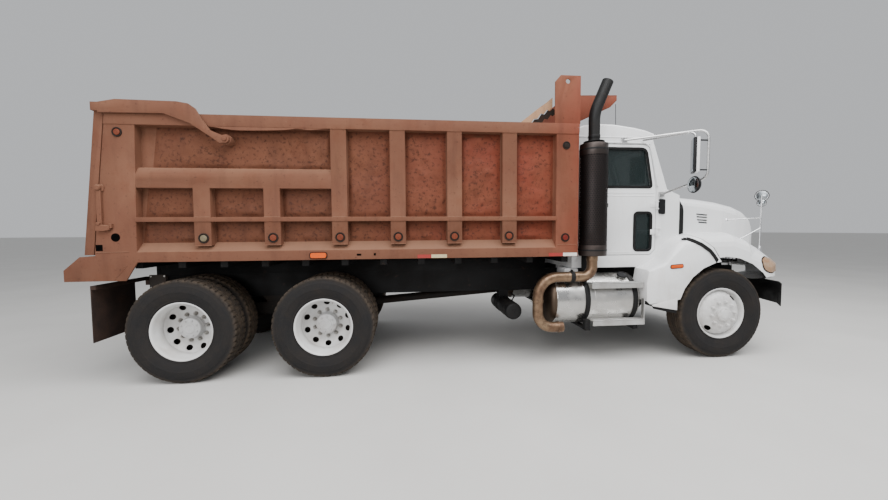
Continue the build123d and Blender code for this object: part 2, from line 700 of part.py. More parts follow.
def seat(y):
    """One seat on its pedestal."""
    x = cab_back_x + 230
    z = CAB_FLOOR + CAB_WALL
    shape = box(x, x + 430, y - 180, y + 180, z + SEAT, z + 330)
    shape += box(x - 20, x + 480, y - 240, y + 240, z + 330, z + 450)
    shape += slab([(x - 20, z + 450), (x + 100, z + 450), (x + 40, z + 1120), (x - 60, z + 1120)],
        y - 230, y + 230)
    return shape


def cab_interior():
    """Seats, dashboard, and the steering wheel on its column."""
    z = CAB_FLOOR + CAB_WALL
    y = CAB_HALF_W - CAB_WALL - SEAT
    dash = slab([
        (DASH_X, 1500), (cab_front_x - CAB_WALL - SEAT, 1500), (cab_front_x - CAB_WALL - SEAT, 1850),
        (DASH_X + 120, 1900), (DASH_X, 1800),
    ], -y, y)
    wheel_mid = Vector(DASH_X - 150, 430, 1760)
    axis = Vector(-cos(radians(50)), 0, sin(radians(50)))
    rim = Plane(origin=wheel_mid, z_dir=axis) * (Cylinder(229, 26) - Cylinder(203, 30))
    hub = rod(tuple(wheel_mid + axis * 10), tuple(wheel_mid - axis * 260), 26)
    spokes = Plane(origin=wheel_mid, z_dir=axis) * Box(22, 416, 14)
    return Compound(children=[dash + hub + rim + spokes, seat(430), seat(-430)])


def door(low_window):
    """The left door, one thick panel with its window cut, hung on barrels at its front edge."""
    y0, y1 = CAB_HALF_W - DOOR_T, CAB_HALF_W
    leaf = slab(door_outline(0), y0, y1) - slab(window_outline(62), y0 - 5, y1 + 5)
    if low_window:
        front, back, foot, top = PEEP
        leaf -= box(door_front_x - front, door_front_x - back, y0 - 5, y1 + 5, foot, top)
    for z in HINGE_HEIGHTS:
        leaf += door_barrel(z)
    return leaf


HINGE_HEIGHTS = (1480, 1800)
DOOR_PIN_R = 9
door_pin_x = door_front_x + 4
door_pin_y = CAB_HALF_W + 16


def door_barrel(z):
    """The door's half of a hinge: a barrel round the pin and a leaf on the door's skin."""
    barrel = rod((door_pin_x, door_pin_y, z - 30), (door_pin_x, door_pin_y, z + 30), 16)
    barrel += box(door_pin_x - 70, door_pin_x, CAB_HALF_W, CAB_HALF_W + 8, z - 30, z + 30)
    return barrel - rod((door_pin_x, door_pin_y, z - 31), (door_pin_x, door_pin_y, z + 31),
        DOOR_PIN_R + RUNNING)


def cab_hinge(z):
    """The cab's half of a door hinge: the pin between two ears."""
    shape = rod((door_pin_x, door_pin_y, z - 46), (door_pin_x, door_pin_y, z + 46), DOOR_PIN_R)
    for low, high in ((z - 50, z - 34), (z + 34, z + 50)):
        shape += rod((door_pin_x, door_pin_y, low), (door_pin_x, door_pin_y, high), 16)
        shape += box(door_pin_x, door_pin_x + 60, CAB_HALF_W - 2, CAB_HALF_W + 12, low, high)
    return shape


def cab():
    shape = cab_shell()
    for z in HINGE_HEIGHTS:
        shape += cab_hinge(z)
        shape += mirrored(cab_hinge(z))
    mounts = box(cab_back_x + 60, cab_back_x + 160, 330, 420, FRAME_TOP + SEAT, CAB_FLOOR + 10)
    mounts += box(cab_front_x - 420, cab_front_x - 320, 330, 420, FRAME_TOP + SEAT, CAB_FLOOR + 10)
    return shape + mounts + mirrored(mounts)


def door_glass(low_window):
    """The left door's panes, in the middle of the door's thickness."""
    y = CAB_HALF_W - DOOR_T / 2
    panes = [slab(window_outline(62), y - 3, y + 3)]
    if low_window:
        front, back, foot, top = PEEP
        panes.append(box(door_front_x - front, door_front_x - back, y - 3, y + 3, foot, top))
    return Compound(children=panes)


# Hood and fenders

HOOD_T = 30
HOOD_PIN_R = 15
HOOD_EAR_IN, HOOD_EAR_OUT = 296, 316     # the hood's pivot ears, from the middle
HOOD_SECTIONS = [  # ahead of the cowl gap, half width, foot, shoulder, top
    (0, 880, 1230, 1800, 1935), (310, 845, 1230, 1775, 1912), (620, 800, 1230, 1735, 1878),
    (860, 748, 1190, 1690, 1838), (1040, 692, 1130, 1630, 1790), (1170, 636, 1060, 1560, 1730),
    (1255, 580, 1010, 1480, 1665),
]
hood_front_x = hood_x + HOOD_SECTIONS[-1][0]
hood_pivot_x = hood_front_x - 32
hood_pivot_z = 905


SHOULDER_FLATS = 5
SHOULDER_W = 210          # how far in the hood's shoulder is rounded
HOOD_CROWN = 22           # the top's rise to its middle


def hood_section(x, half, foot, shoulder, top, shrink):
    """One cross section of the hood: upright sides, rounded shoulders and a crowned top."""
    w, drop = half - shrink, top - HOOD_CROWN - shoulder
    side = [(w, foot)]
    for k in range(SHOULDER_FLATS + 1):
        turn = pi / 2 * k / SHOULDER_FLATS
        side.append((w - SHOULDER_W * (1 - cos(turn)), shoulder - shrink + drop * sin(turn)))
    points = side + [(0, top - shrink)] + [(-y, z) for y, z in side[::-1]]
    return Face(Wire.make_polygon([Vector(x, y, z) for y, z in points], close=True))


def hood_shell():
    outer = loft([hood_section(hood_x + s[0], *s[1:], 0) for s in HOOD_SECTIONS], ruled=True)
    rows = [list(s) for s in HOOD_SECTIONS]
    inner = loft([hood_section(hood_x + s[0] - (HOOD_T if k == len(rows) - 1 else 0) - (1 if k == 0 else 0),
                               s[1], s[2] - 1, s[3], s[4], HOOD_T) for k, s in enumerate(rows)], ruled=True)
    opening = box(hood_front_x - 60, hood_front_x + 60, -430, 430, 1060, 1540)
    return outer - inner - opening, inner


ARCH_R = 670              # wheel arch in the tilting fender
REAR_ARCH_R = 622         # and in its rear part
REAR_ARCH_AHEAD = 30
FENDER_T = 26
FENDER_INNER_Y = 560
FENDER_FLAT_Y = 1010      # out to here the top is flat
FENDER_CROWN_Y = 1080
FENDER_OUT_Y = 1195
FENDER_SPLIT = [(-500, 1500), (-300, 1400), (-165, 1300), (-60, 1140), (-60, 400)]
SPLIT_GAP = 8
fender_crown = [  # ahead of the axle, height: from the rear foot over the wheel to the nose
    (-905, 640), (-965, 700), (-970, 900), (-945, 1056), (-862, 1095), (-770, 1130), (-705, 1190),
    (-600, 1335),
    (-500, 1425), (-330, 1462), (100, 1471), (300, 1400), (490, 1285), (640, 1180), (745, 1100), (755, 950),
]
# Out from the middle, how far the top drops, how far the nose moves ahead of the crown's.
FENDER_STATIONS = [
    (FENDER_INNER_Y, 0, 155), (900, 0, 130), (FENDER_FLAT_Y, 1, 62), (FENDER_CROWN_Y, 10, 0),
    (1130, 32, -58),
    (1165, 65, -105), (1186, 105, -150), (FENDER_OUT_Y, 160, -190),
]


def fender_section(y, drop, nose, shrink):
    """The fender's side outline at a distance from the middle."""
    points = []
    for ahead, z in fender_crown:
        share = max(0.0, min(1.0, (z - 1000) / 400))
        x = ahead + (nose - shrink if ahead > 480 else 0) + (shrink if ahead < -600 else 0)
        points.append(Vector(front_axle_x + x, y, z - (drop + shrink) * share))
    return Face(Wire.make_polygon(points, close=True))


def fender_solid(shrink):
    """The whole left fender as a solid block, or the hollow that goes out of it."""
    faces = []
    for y, drop, nose in FENDER_STATIONS:
        outward = max(0.0, (y - FENDER_FLAT_Y) / (FENDER_OUT_Y - FENDER_FLAT_Y))
        faces.append(fender_section(y - shrink * outward, drop, nose, shrink))
    return loft(faces, ruled=True)


def arch(radius, ahead):
    """The round of a wheel arch, through the whole fender."""
    x = front_axle_x + ahead
    points = [(x + radius * cos(pi * k / 12), axle_z + radius * sin(pi * k / 12)) for k in range(13)]
    return slab(points + [(x - radius, 300), (x + radius, 300)], FENDER_INNER_Y - 60, FENDER_OUT_Y + 40)


def split_block(ahead_side):
    """Everything ahead of, or behind, the gap between the fender's two parts."""
    far = 1300 if ahead_side else -1300
    gap = SPLIT_GAP / 2 if ahead_side else -SPLIT_GAP / 2
    line = [(front_axle_x + x + gap, z) for x, z in FENDER_SPLIT]
    ends = [(front_axle_x + far, 400), (front_axle_x + far, 1500)]
    return slab(line + ends, FENDER_INNER_Y - 60, FENDER_OUT_Y + 40)


def fender_shell():
    return fender_solid(0) - fender_solid(FENDER_T)


def hood():
    """The tilting hood with both front fenders, and its pivot ears."""
    shell, room = hood_shell()
    cowl = box(front_axle_x - 700, hood_x, FENDER_INNER_Y - 60, CAB_HALF_W + 10, 400, 1500)
    fender = (fender_shell() & split_block(True)) - arch(ARCH_R, 0) - room - cowl
    ear = slab([
        (hood_pivot_x - 28, hood_pivot_z - 26), (hood_pivot_x + 28, hood_pivot_z - 26),
        (hood_front_x - 2, 1045), (hood_front_x - 60, 1045),
    ], HOOD_EAR_IN, HOOD_EAR_OUT)
    ear -= rod((hood_pivot_x, HOOD_EAR_IN - 5, hood_pivot_z),
        (hood_pivot_x, HOOD_EAR_OUT + 5, hood_pivot_z),
               HOOD_PIN_R + RUNNING)
    left = fender + ear
    return shell + left + mirrored(left)


def fender_extensions():
    """The fenders' rear parts, which stay on the cab when the hood tilts."""
    left = (fender_shell() & split_block(False)) - arch(REAR_ARCH_R, REAR_ARCH_AHEAD)
    left &= box(front_axle_x - 1100, front_axle_x, CAB_HALF_W + SEAT, FENDER_OUT_Y + 5, 400, 1500)
    return Compound(children=[left, mirrored(left)])


def hood_hinge():
    """The left pin that the hood tilts on, in its bracket on the frame's front."""
    y0, y1 = HOOD_EAR_OUT + 6, HOOD_EAR_OUT + 25
    z0, z1 = FRAME_TOP - 210, hood_pivot_z + 26
    bracket = box(frame_front_x - 20, hood_pivot_x + 28, y0, y1, z0, z1)
    pin = rod((hood_pivot_x, HOOD_EAR_IN - 6, hood_pivot_z), (hood_pivot_x, y0 + 8, hood_pivot_z),
        HOOD_PIN_R)
    return bracket + pin + box(frame_front_x - 50, frame_front_x - 1, y0, RAIL_OUT - RAIL_T + 2, z0, z1)


def grille():
    """The upright grille: a frame with bars."""
    x0, x1 = hood_front_x - 45, hood_front_x - 12
    y, z0, z1 = 430 - SEAT, 1060 + SEAT, 1540 - SEAT
    shape = box(x0, x1, -y, y, z0, z1) - box(x0 - 1, x1 + 1, -y + 30, y - 30, z0 + 30, z1 - 30)
    bars = 14
    for k in range(bars):
        mid = -y + 30 + (k + 1) * (2 * y - 60) / (bars + 1)
        shape += box(x0 + 6, x1 - 6, mid - 6, mid + 6, z0 + 20, z1 - 20)
    return shape


def lamps():
    """The headlamps on the fenders' noses."""
    nose = front_axle_x + 560
    block = slab([(nose, 1010), (nose + 420, 1010), (nose + 420, 1150), (nose, 1165)], 880, 1150)
    skin = (fender_solid(-8) - fender_solid(-SEAT)) & block
    return Compound(children=[skin, mirrored(skin)])


# Mirrors

def door_mirror():
    """The left mirror: head, round spotter and the tube loop on cab brackets."""
    y = 1400
    x = door_front_x + 60
    head = box(x, x + 70, y - 95, y + 95, 2110, 2470)
    wall = CAB_HALF_W + SEAT
    loop = pipe([
        (door_front_x - 420, wall + 14, GUTTER_Z - 20), (x + 100, y + 20, GUTTER_Z - 10),
        (x + 100, y + 20, 2020), (door_front_x + 60, wall + 14, 1925),
    ], [60, 60], 13)
    for pad_x, pad_z in ((door_front_x - 420, GUTTER_Z - 20), (door_front_x + 60, 1925)):
        loop += box(pad_x - 30, pad_x + 30, wall, wall + 26, pad_z - 28, pad_z + 28)
    tie_top, tie_foot = (
        box(x + 60, x + 110, y - 12, y + 30, z0, z0 + 16) for z0 in (2440, 2130)
    )
    ties = tie_top + tie_foot
    return head + loop + ties


def mirrors():
    left = door_mirror()
    return Compound(children=[left, mirrored(left)])


def hood_mirrors():
    """Round mirrors on masts at the fender noses."""
    x, y = front_axle_x + 600, 1020
    mast = rod((x, y, 1150), (x, y, 1920), 10) + rod((x, y, 1150), (x, y, 1310), 22)
    mast -= fender_solid(-SEAT)
    mast += rod((x - 20, y, 1915), (x + 6, y, 1915), 62)
    return Compound(children=[mast, mirrored(mast)])


# Dump body

rear_slope = REAR_LEAN / (SIDE_TOP - SIDE_FOOT - LOWER_RAIL_H)


def rear_edge(z):
    """X of the rear posts' rear edge at a height."""
    return bed_rear_x + (z - SIDE_FOOT - LOWER_RAIL_H) * rear_slope


lower_face_top = SIDE_FOOT + LOWER_RAIL_H
slope_top = lower_face_top + LOWER_RAIL_SLOPE
top_rail_foot = SIDE_TOP - TOP_RAIL_H
STRIP_Z, STRIP_H = 1615, 44
BEAM_FOOT, BEAM_H, BEAM_BEVEL = 1942, 196, 66
SHORT_RIBS = (655, 655)   # spacing of the short ribs, back from the rearmost full rib
rib_xs = [bed_front_x - 762 - k * RIB_PITCH for k in range(4)]
short_rib_xs = [rib_xs[-1] - SHORT_RIBS[0], rib_xs[-1] - sum(SHORT_RIBS)]
ARM_EYE = (503 - 4090, 2410)   # the gate arm's eye, from the body's front and the ground
eye_x = bed_front_x + ARM_EYE[0]
eye_z = ARM_EYE[1]
GATE_PIN_R = 20
ARM_Y0, ARM_T = BED_HALF_W + 12, 25


def rib(x, z_top):
    """An upright rib whose foot seats on the lower rail's slope."""
    y_in = BED_INNER + SHEET
    return box(x - RIB_W / 2, x + RIB_W / 2, y_in, BED_HALF_W, slope_top - 30, z_top)


def bed_side():
    """The left side: sheet, rails, ribs, corner posts, and the skirt over the tail."""
    y_in, y_out = BED_INNER + SHEET, BED_HALF_W
    sheet = slab([
        (bed_front_x, SIDE_FOOT), (rear_edge(SIDE_FOOT), SIDE_FOOT), (rear_edge(SIDE_TOP), SIDE_TOP),
        (bed_front_x, SIDE_TOP),
    ], BED_INNER, y_in)
    lower = bar([(y_in, SIDE_FOOT), (y_out, SIDE_FOOT), (y_out, lower_face_top), (y_in, slope_top)],
                bed_rear_x + 15, bed_front_x)
    top = slab([
        (rear_edge(top_rail_foot), top_rail_foot), (rear_edge(SIDE_TOP), SIDE_TOP), (bed_front_x, SIDE_TOP),
        (bed_front_x, top_rail_foot),
    ], y_in, y_out + 6)
    front = box(bed_front_x - FRONT_POST_W, bed_front_x, y_in, y_out, SIDE_FOOT, SIDE_TOP)
    rear = slab([
        (bed_rear_x, lower_face_top), (bed_rear_x + REAR_POST_FOOT_W, lower_face_top),
        (rear_edge(SIDE_TOP) + REAR_POST_TOP_W, SIDE_TOP), (rear_edge(SIDE_TOP), SIDE_TOP),
    ], y_in, y_out)
    skirt = slab([
        (tail_x, 1155), (bed_rear_x - 137, FLOOR_Z), (bed_rear_x, FLOOR_Z + 5),
        (bed_rear_x, lower_face_top),
        (bed_rear_x + REAR_POST_FOOT_W, lower_face_top), (bed_rear_x + REAR_POST_FOOT_W, SIDE_FOOT),
        (bed_rear_x + 262, 1047), (tail_x, 1047),
    ], y_out - 15, y_out)
    beam_rear = bed_rear_x + REAR_POST_FOOT_W + 20
    beam = bar([
        (y_in, BEAM_FOOT), (y_out, BEAM_FOOT), (y_out, BEAM_FOOT + BEAM_H - BEAM_BEVEL),
        (y_out - 40, BEAM_FOOT + BEAM_H), (y_in, BEAM_FOOT + BEAM_H),
    ], beam_rear, rib_xs[-1])
    strip = box(bed_rear_x + REAR_POST_FOOT_W, bed_front_x - FRONT_POST_W, y_in, y_out + 8, STRIP_Z,
                STRIP_Z + STRIP_H)
    parts = [lower, top, front, rear, skirt, beam, strip]
    parts += [rib(x, top_rail_foot) for x in rib_xs]
    parts += [rib(x, BEAM_FOOT) for x in short_rib_xs]
    boss = rod((eye_x, y_in, eye_z), (eye_x, ARM_Y0 - 5, eye_z), 48)
    pin = rod((eye_x, y_in, eye_z), (eye_x, ARM_Y0 + ARM_T + 12, eye_z), GATE_PIN_R)
    return sheet.fuse(*parts, boss, pin)


def bed_floor():
    """The floor sheet with the spreader apron that slopes down behind the gate."""
    y = BED_INNER - SEAT
    floor = box(bed_rear_x - 137, bed_front_x - SHEET - SEAT, -y, y, FLOOR_Z - SHEET, FLOOR_Z)
    apron = slab([
        (tail_x, 1140), (tail_x, 1150), (bed_rear_x - 137, FLOOR_Z), (bed_rear_x - 137, FLOOR_Z - SHEET),
    ], -BED_HALF_W + 15 + SEAT, BED_HALF_W - 15 - SEAT)
    bolster = box(bed_rear_x - 60, bed_rear_x + 60, -y, y, 1160, FLOOR_Z - SHEET)
    return floor + apron + bolster


HOIST_PIN_X = 1210        # hoist's body pin ahead of the hinge
HOIST_PIN_Z = 1100
HOIST_BASE_X = 2760       # hoist's base pin ahead of the hinge
HOIST_BASE_Z = 800
HOIST_Y = 240
HOIST_BRIDGE = 240        # half length of the plates that carry the hoist's ears
BARREL_R = 70
ROD_R = 38
BARREL_L = 1040
base = Vector(hinge_x + HOIST_BASE_X, 0, HOIST_BASE_Z)
head = Vector(hinge_x + HOIST_PIN_X, 0, HOIST_PIN_Z)
along = (head - base).normalized()


def underframe():
    """The two long sills on the frame, cross sills, hinge lugs and hoist lugs."""
    y0, y1 = RAIL_OUT - LONG_SILL_W, RAIL_OUT
    z0, z1 = FRAME_TOP + SEAT, FRAME_TOP + LONG_SILL_H
    sill = box(frame_rear_x - 20, bed_front_x - 60, y0, y1, z0, z1 - SEAT)
    lug_y1 = RAIL_OUT - RAIL_T - 40 - 5
    lug = slab([
        (hinge_x - 50, hinge_z - 30), (hinge_x - 20, hinge_z - 50), (hinge_x + 30, hinge_z - 40),
        (hinge_x + 50, FRAME_TOP + 5), (hinge_x + 200, FRAME_TOP + 5), (hinge_x + 200, z1),
        (hinge_x - 50, z1),
    ], lug_y1 - 45, lug_y1)
    pin = rod((hinge_x, lug_y1 - 45, hinge_z), (hinge_x, RAIL_OUT - RAIL_T + 2, hinge_z), HINGE_PIN_R)
    left = sill + lug + pin
    count = int((bed_front_x - bed_rear_x - 300) / CROSS_SILL_PITCH)
    sills = []
    cradle = []
    for k in range(count + 1):
        x = bed_front_x - 100 - k * CROSS_SILL_PITCH
        sill = box(x - 35, x + 35, -BED_INNER + 10, BED_INNER - 10, z1, FLOOR_Z - SHEET - SEAT)
        (cradle if abs(x - head.X) < HOIST_BRIDGE else sills).append(sill)
    for y in (HOIST_Y - 50, HOIST_Y + 38):
        ear = slab([
            (head.X - 60, z1 + 20), (head.X - 50, head.Z - 50), (head.X + 50, head.Z - 50),
            (head.X + 60, z1 + 20),
        ], y, y + 12)
        bridge = box(head.X - HOIST_BRIDGE, head.X + HOIST_BRIDGE, y, y + 12, z1 + 10,
            FLOOR_Z - SHEET - SEAT)
        cradle += [ear, bridge, mirrored(ear), mirrored(bridge)]
    return Compound(children=[left, mirrored(left), cradle[0].fuse(*cradle[1:]), *sills])


HEAD_TOP = 3046
COLUMN_TOP = 3148
CANOPY_REACH = 590
CANOPY_HALF_W = 930


def bed_front():
    """The front wall with posts, the headboard's side columns, and the short canopy on its gussets."""
    x0, x1 = bed_front_x - SHEET, bed_front_x
    y = BED_INNER - SEAT
    wall = box(x0, x1, -y, y, SIDE_FOOT, HEAD_TOP - SHEET - SEAT)
    posts = [
        box(x1, x1 + 45, py - 60, py + 60, SIDE_FOOT + 60, SIDE_TOP)
        for py in (-800, -400, 0, 400, 800)
    ]
    wall = wall.fuse(box(x1, x1 + 55, -y, y, SIDE_TOP - 60, SIDE_TOP + 60), *posts)
    column = slab([
        (bed_front_x - 272, SIDE_TOP + SEAT), (bed_front_x + 12, SIDE_TOP + SEAT),
        (bed_front_x + 12, COLUMN_TOP),
        (bed_front_x - 210, COLUMN_TOP), (bed_front_x - 272, COLUMN_TOP - 70),
    ], BED_HALF_W - 14, BED_HALF_W - 2)
    column -= rod((bed_front_x - 130, BED_HALF_W - 20, COLUMN_TOP - 62),
                  (bed_front_x - 130, BED_HALF_W + 5, COLUMN_TOP - 62), 24)
    column += box(x0, x1, y + SEAT, BED_HALF_W - 14, SIDE_TOP + SEAT, HEAD_TOP - 60)
    gusset = slab([
        (x1 + SEAT, 2690), (x1 + SEAT, HEAD_TOP - SHEET - SEAT), (x1 + CANOPY_REACH, HEAD_TOP + 12 - SEAT),
        (x1 + CANOPY_REACH, HEAD_TOP - 40), (x1 + CANOPY_REACH - 80, HEAD_TOP - 120),
    ], CANOPY_HALF_W - 8, CANOPY_HALF_W)
    canopy = slab([
        (x0, HEAD_TOP - SHEET), (x1 + CANOPY_REACH, HEAD_TOP + 12), (x1 + CANOPY_REACH, HEAD_TOP + 20),
        (x0, HEAD_TOP),
    ], -CANOPY_HALF_W, CANOPY_HALF_W)
    return Compound(children=[wall, canopy, column, mirrored(column), gusset, mirrored(gusset)])


GATE_FOOT = FLOOR_Z + 17
ARM_REACH = 1108          # the gate arm's eye to its rear end


def tailgate():
    """The gate: framed panel leaning with the rear posts, and the two arms that it swings on."""
    def line(offset, z):
        return (rear_edge(z) - offset, z)

    gate_top = SIDE_TOP + 10
    panel = slab([
        line(GATE_GAP, GATE_FOOT), line(GATE_GAP, gate_top), line(GATE_GAP + GATE_T, gate_top),
        line(GATE_GAP + GATE_T, GATE_FOOT),
    ], -BED_HALF_W + 4, BED_HALF_W - 4)
    y = BED_HALF_W - 4 - 90
    bays, web = 4, 80
    width = (2 * y - web * (bays - 1)) / bays
    rows = ((GATE_FOOT + 100, GATE_FOOT + 580), (GATE_FOOT + 680, gate_top - 110))
    for k in range(bays):
        y0 = -y + k * (width + web)
        for z0, z1 in rows:
            panel -= slab([
                line(GATE_GAP + 10, z0), line(GATE_GAP + 10, z1), line(GATE_GAP + GATE_T + 9, z1),
                line(GATE_GAP + GATE_T + 9, z0),
            ], y0, y0 + width)
    arm = slab([
        (eye_x + 26, eye_z + 12), (eye_x - 133, eye_z + 80), (eye_x - 203, eye_z + 182),
        (eye_x - 259, eye_z + 282),
        (eye_x - 318, eye_z + 324), (eye_x - 420, eye_z + 340), (eye_x - 957, eye_z + 346),
        (eye_x - ARM_REACH, eye_z + 316), (eye_x - ARM_REACH, eye_z + 222), (eye_x - 543, eye_z + 227),
        (eye_x - 310, eye_z + 140), (eye_x - 105, eye_z + 2), (eye_x - 47, eye_z - 42),
        (eye_x + 8, eye_z - 34),
    ], ARM_Y0, ARM_Y0 + ARM_T)
    arm += rod((eye_x, ARM_Y0, eye_z), (eye_x, ARM_Y0 + ARM_T, eye_z), 38)
    arm -= rod((eye_x, ARM_Y0 - 5, eye_z), (eye_x, ARM_Y0 + ARM_T + 5, eye_z), GATE_PIN_R + RUNNING)
    arm_rear = eye_x - ARM_REACH
    tie = box(arm_rear - 60, arm_rear, BED_HALF_W - 90, ARM_Y0 + ARM_T, SIDE_TOP + 5, eye_z + 316)
    left = arm + tie
    return panel + left + mirrored(left)


def hoist_barrel():
    """The left hoist cylinder's barrel, with its base eye."""
    foot = Vector(base.X, HOIST_Y, base.Z)
    barrel = rod(tuple(foot + along * 60), tuple(foot + along * BARREL_L), BARREL_R)
    eye = rod((foot.X, HOIST_Y - 35, foot.Z), (foot.X, HOIST_Y + 35, foot.Z), 62)
    bore = rod(tuple(foot + along * 200), tuple(foot + along * (BARREL_L + 1)), ROD_R + RUNNING)
    return barrel + eye - bore - rod((foot.X, HOIST_Y - 40, foot.Z), (foot.X, HOIST_Y + 40, foot.Z),
        25 + RUNNING)


def hoist_rod():
    """The left cylinder's rod with its eye."""
    foot = Vector(base.X, HOIST_Y, base.Z)
    eye_at = Vector(head.X, HOIST_Y, head.Z)
    shape = rod(tuple(foot + along * 210), tuple(eye_at - along * 20), ROD_R)
    return shape + rod((eye_at.X, HOIST_Y - 30, eye_at.Z), (eye_at.X, HOIST_Y + 30, eye_at.Z), 46)


def hoist_mount():
    """The cross tube and pins that carry the hoist's base, between the rails."""
    y = RAIL_OUT - RAIL_T - SEAT
    shape = rod((base.X, -y, base.Z), (base.X, y, base.Z), 25)
    return shape


def pair(shape):
    return Compound(children=[shape, mirrored(shape)])


def build():
    """Every node of the truck."""
    left_rear, left_mid = rear_wheels(rear_axle_x), rear_wheels(mid_axle_x)
    left_front = front_wheel(front_axle_x)
    made = {
        "frame": frame(), "front_axle": front_axle(), "drive_axles": drive_axles(),
        "suspension": suspension(), "engine": engine(), "driveline": driveline(), "bumper": bumper(),
        "fuel_tanks": fuel_tanks(), "tank_steps": steps(), "muffler": muffler(),
        "exhaust_pipes": exhaust_pipes(), "air_tank": air_tank(), "mud_flaps": mud_flaps(),
        "cab": cab(), "cab_glass": cab_glass(), "cab_interior": cab_interior(),
        "fender_extensions": fender_extensions(), "mirrors": mirrors(), "hoist_mount": hoist_mount(),
        "door_right": mirrored(door(True)), "door_right_glass": mirrored(door_glass(True)),
        "door_left": door(False), "door_left_glass": door_glass(False),
        "hood": hood(), "grille": grille(), "headlamps": lamps(), "hood_mirrors": hood_mirrors(),
        "knuckle_left": knuckle(), "knuckle_right": mirrored(knuckle()),
        "front_wheel_left": left_front, "front_wheel_right": mirrored(left_front),
        "bed_floor": bed_floor(), "bed_underframe": underframe(), "bed_front": bed_front(),
        "bed_side_left": bed_side(), "bed_side_right": mirrored(bed_side()), "tailgate": tailgate(),
        "hoist_barrels": pair(hoist_barrel()), "hoist_rods": pair(hoist_rod()),
    }
    front_tyre = tyre(front_axle_x, front_mid)
    made["front_tyre_left"], made["front_tyre_right"] = front_tyre, mirrored(front_tyre)
    for place, x, wheels in (("rear", rear_axle_x, left_rear), ("middle", mid_axle_x, left_mid)):
        tyres = Compound(children=[tyre(x, inner_mid), tyre(x, outer_mid)])
        made[f"{place}_wheels_left"], made[f"{place}_wheels_right"] = wheels, mirrored(wheels)
        made[f"{place}_tyres_left"], made[f"{place}_tyres_right"] = tyres, mirrored(tyres)
    return made


def main():
    os.makedirs("parts", exist_ok=True)
    for name, shape in build().items():
        export_step(shape, f"parts/{name}.step")


main()
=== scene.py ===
import json
import math
import random

import bmesh
import bpy
from mathutils import Matrix, Vector, noise
from mathutils.bvhtree import BVHTree


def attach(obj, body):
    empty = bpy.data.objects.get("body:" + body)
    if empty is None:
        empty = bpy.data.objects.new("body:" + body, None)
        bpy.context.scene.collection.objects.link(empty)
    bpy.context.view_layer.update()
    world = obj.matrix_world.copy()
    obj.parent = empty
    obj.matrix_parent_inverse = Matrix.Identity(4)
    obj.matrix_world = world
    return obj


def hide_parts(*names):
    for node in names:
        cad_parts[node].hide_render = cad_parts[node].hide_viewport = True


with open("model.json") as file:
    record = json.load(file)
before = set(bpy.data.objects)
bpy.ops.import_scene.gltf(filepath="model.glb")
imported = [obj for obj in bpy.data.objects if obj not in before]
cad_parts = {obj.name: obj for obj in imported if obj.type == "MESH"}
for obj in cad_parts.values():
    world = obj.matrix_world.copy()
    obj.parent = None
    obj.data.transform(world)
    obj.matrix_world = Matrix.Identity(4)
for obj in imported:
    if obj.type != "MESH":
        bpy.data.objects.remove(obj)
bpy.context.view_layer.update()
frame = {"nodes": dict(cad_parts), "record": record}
NODES = frame["nodes"]
BODY_OF = {node: body for body, nodes in frame["record"]["behaviour"]["bodies"].items() for node in nodes}


# Materials

DULL = 0.25               # specular level of dusty, unpolished surfaces
GLOSSY = 0.5
SHEEN_OF_A_HOLE = 0.05


def shade_of(color, share):
    return [c * share for c in color]


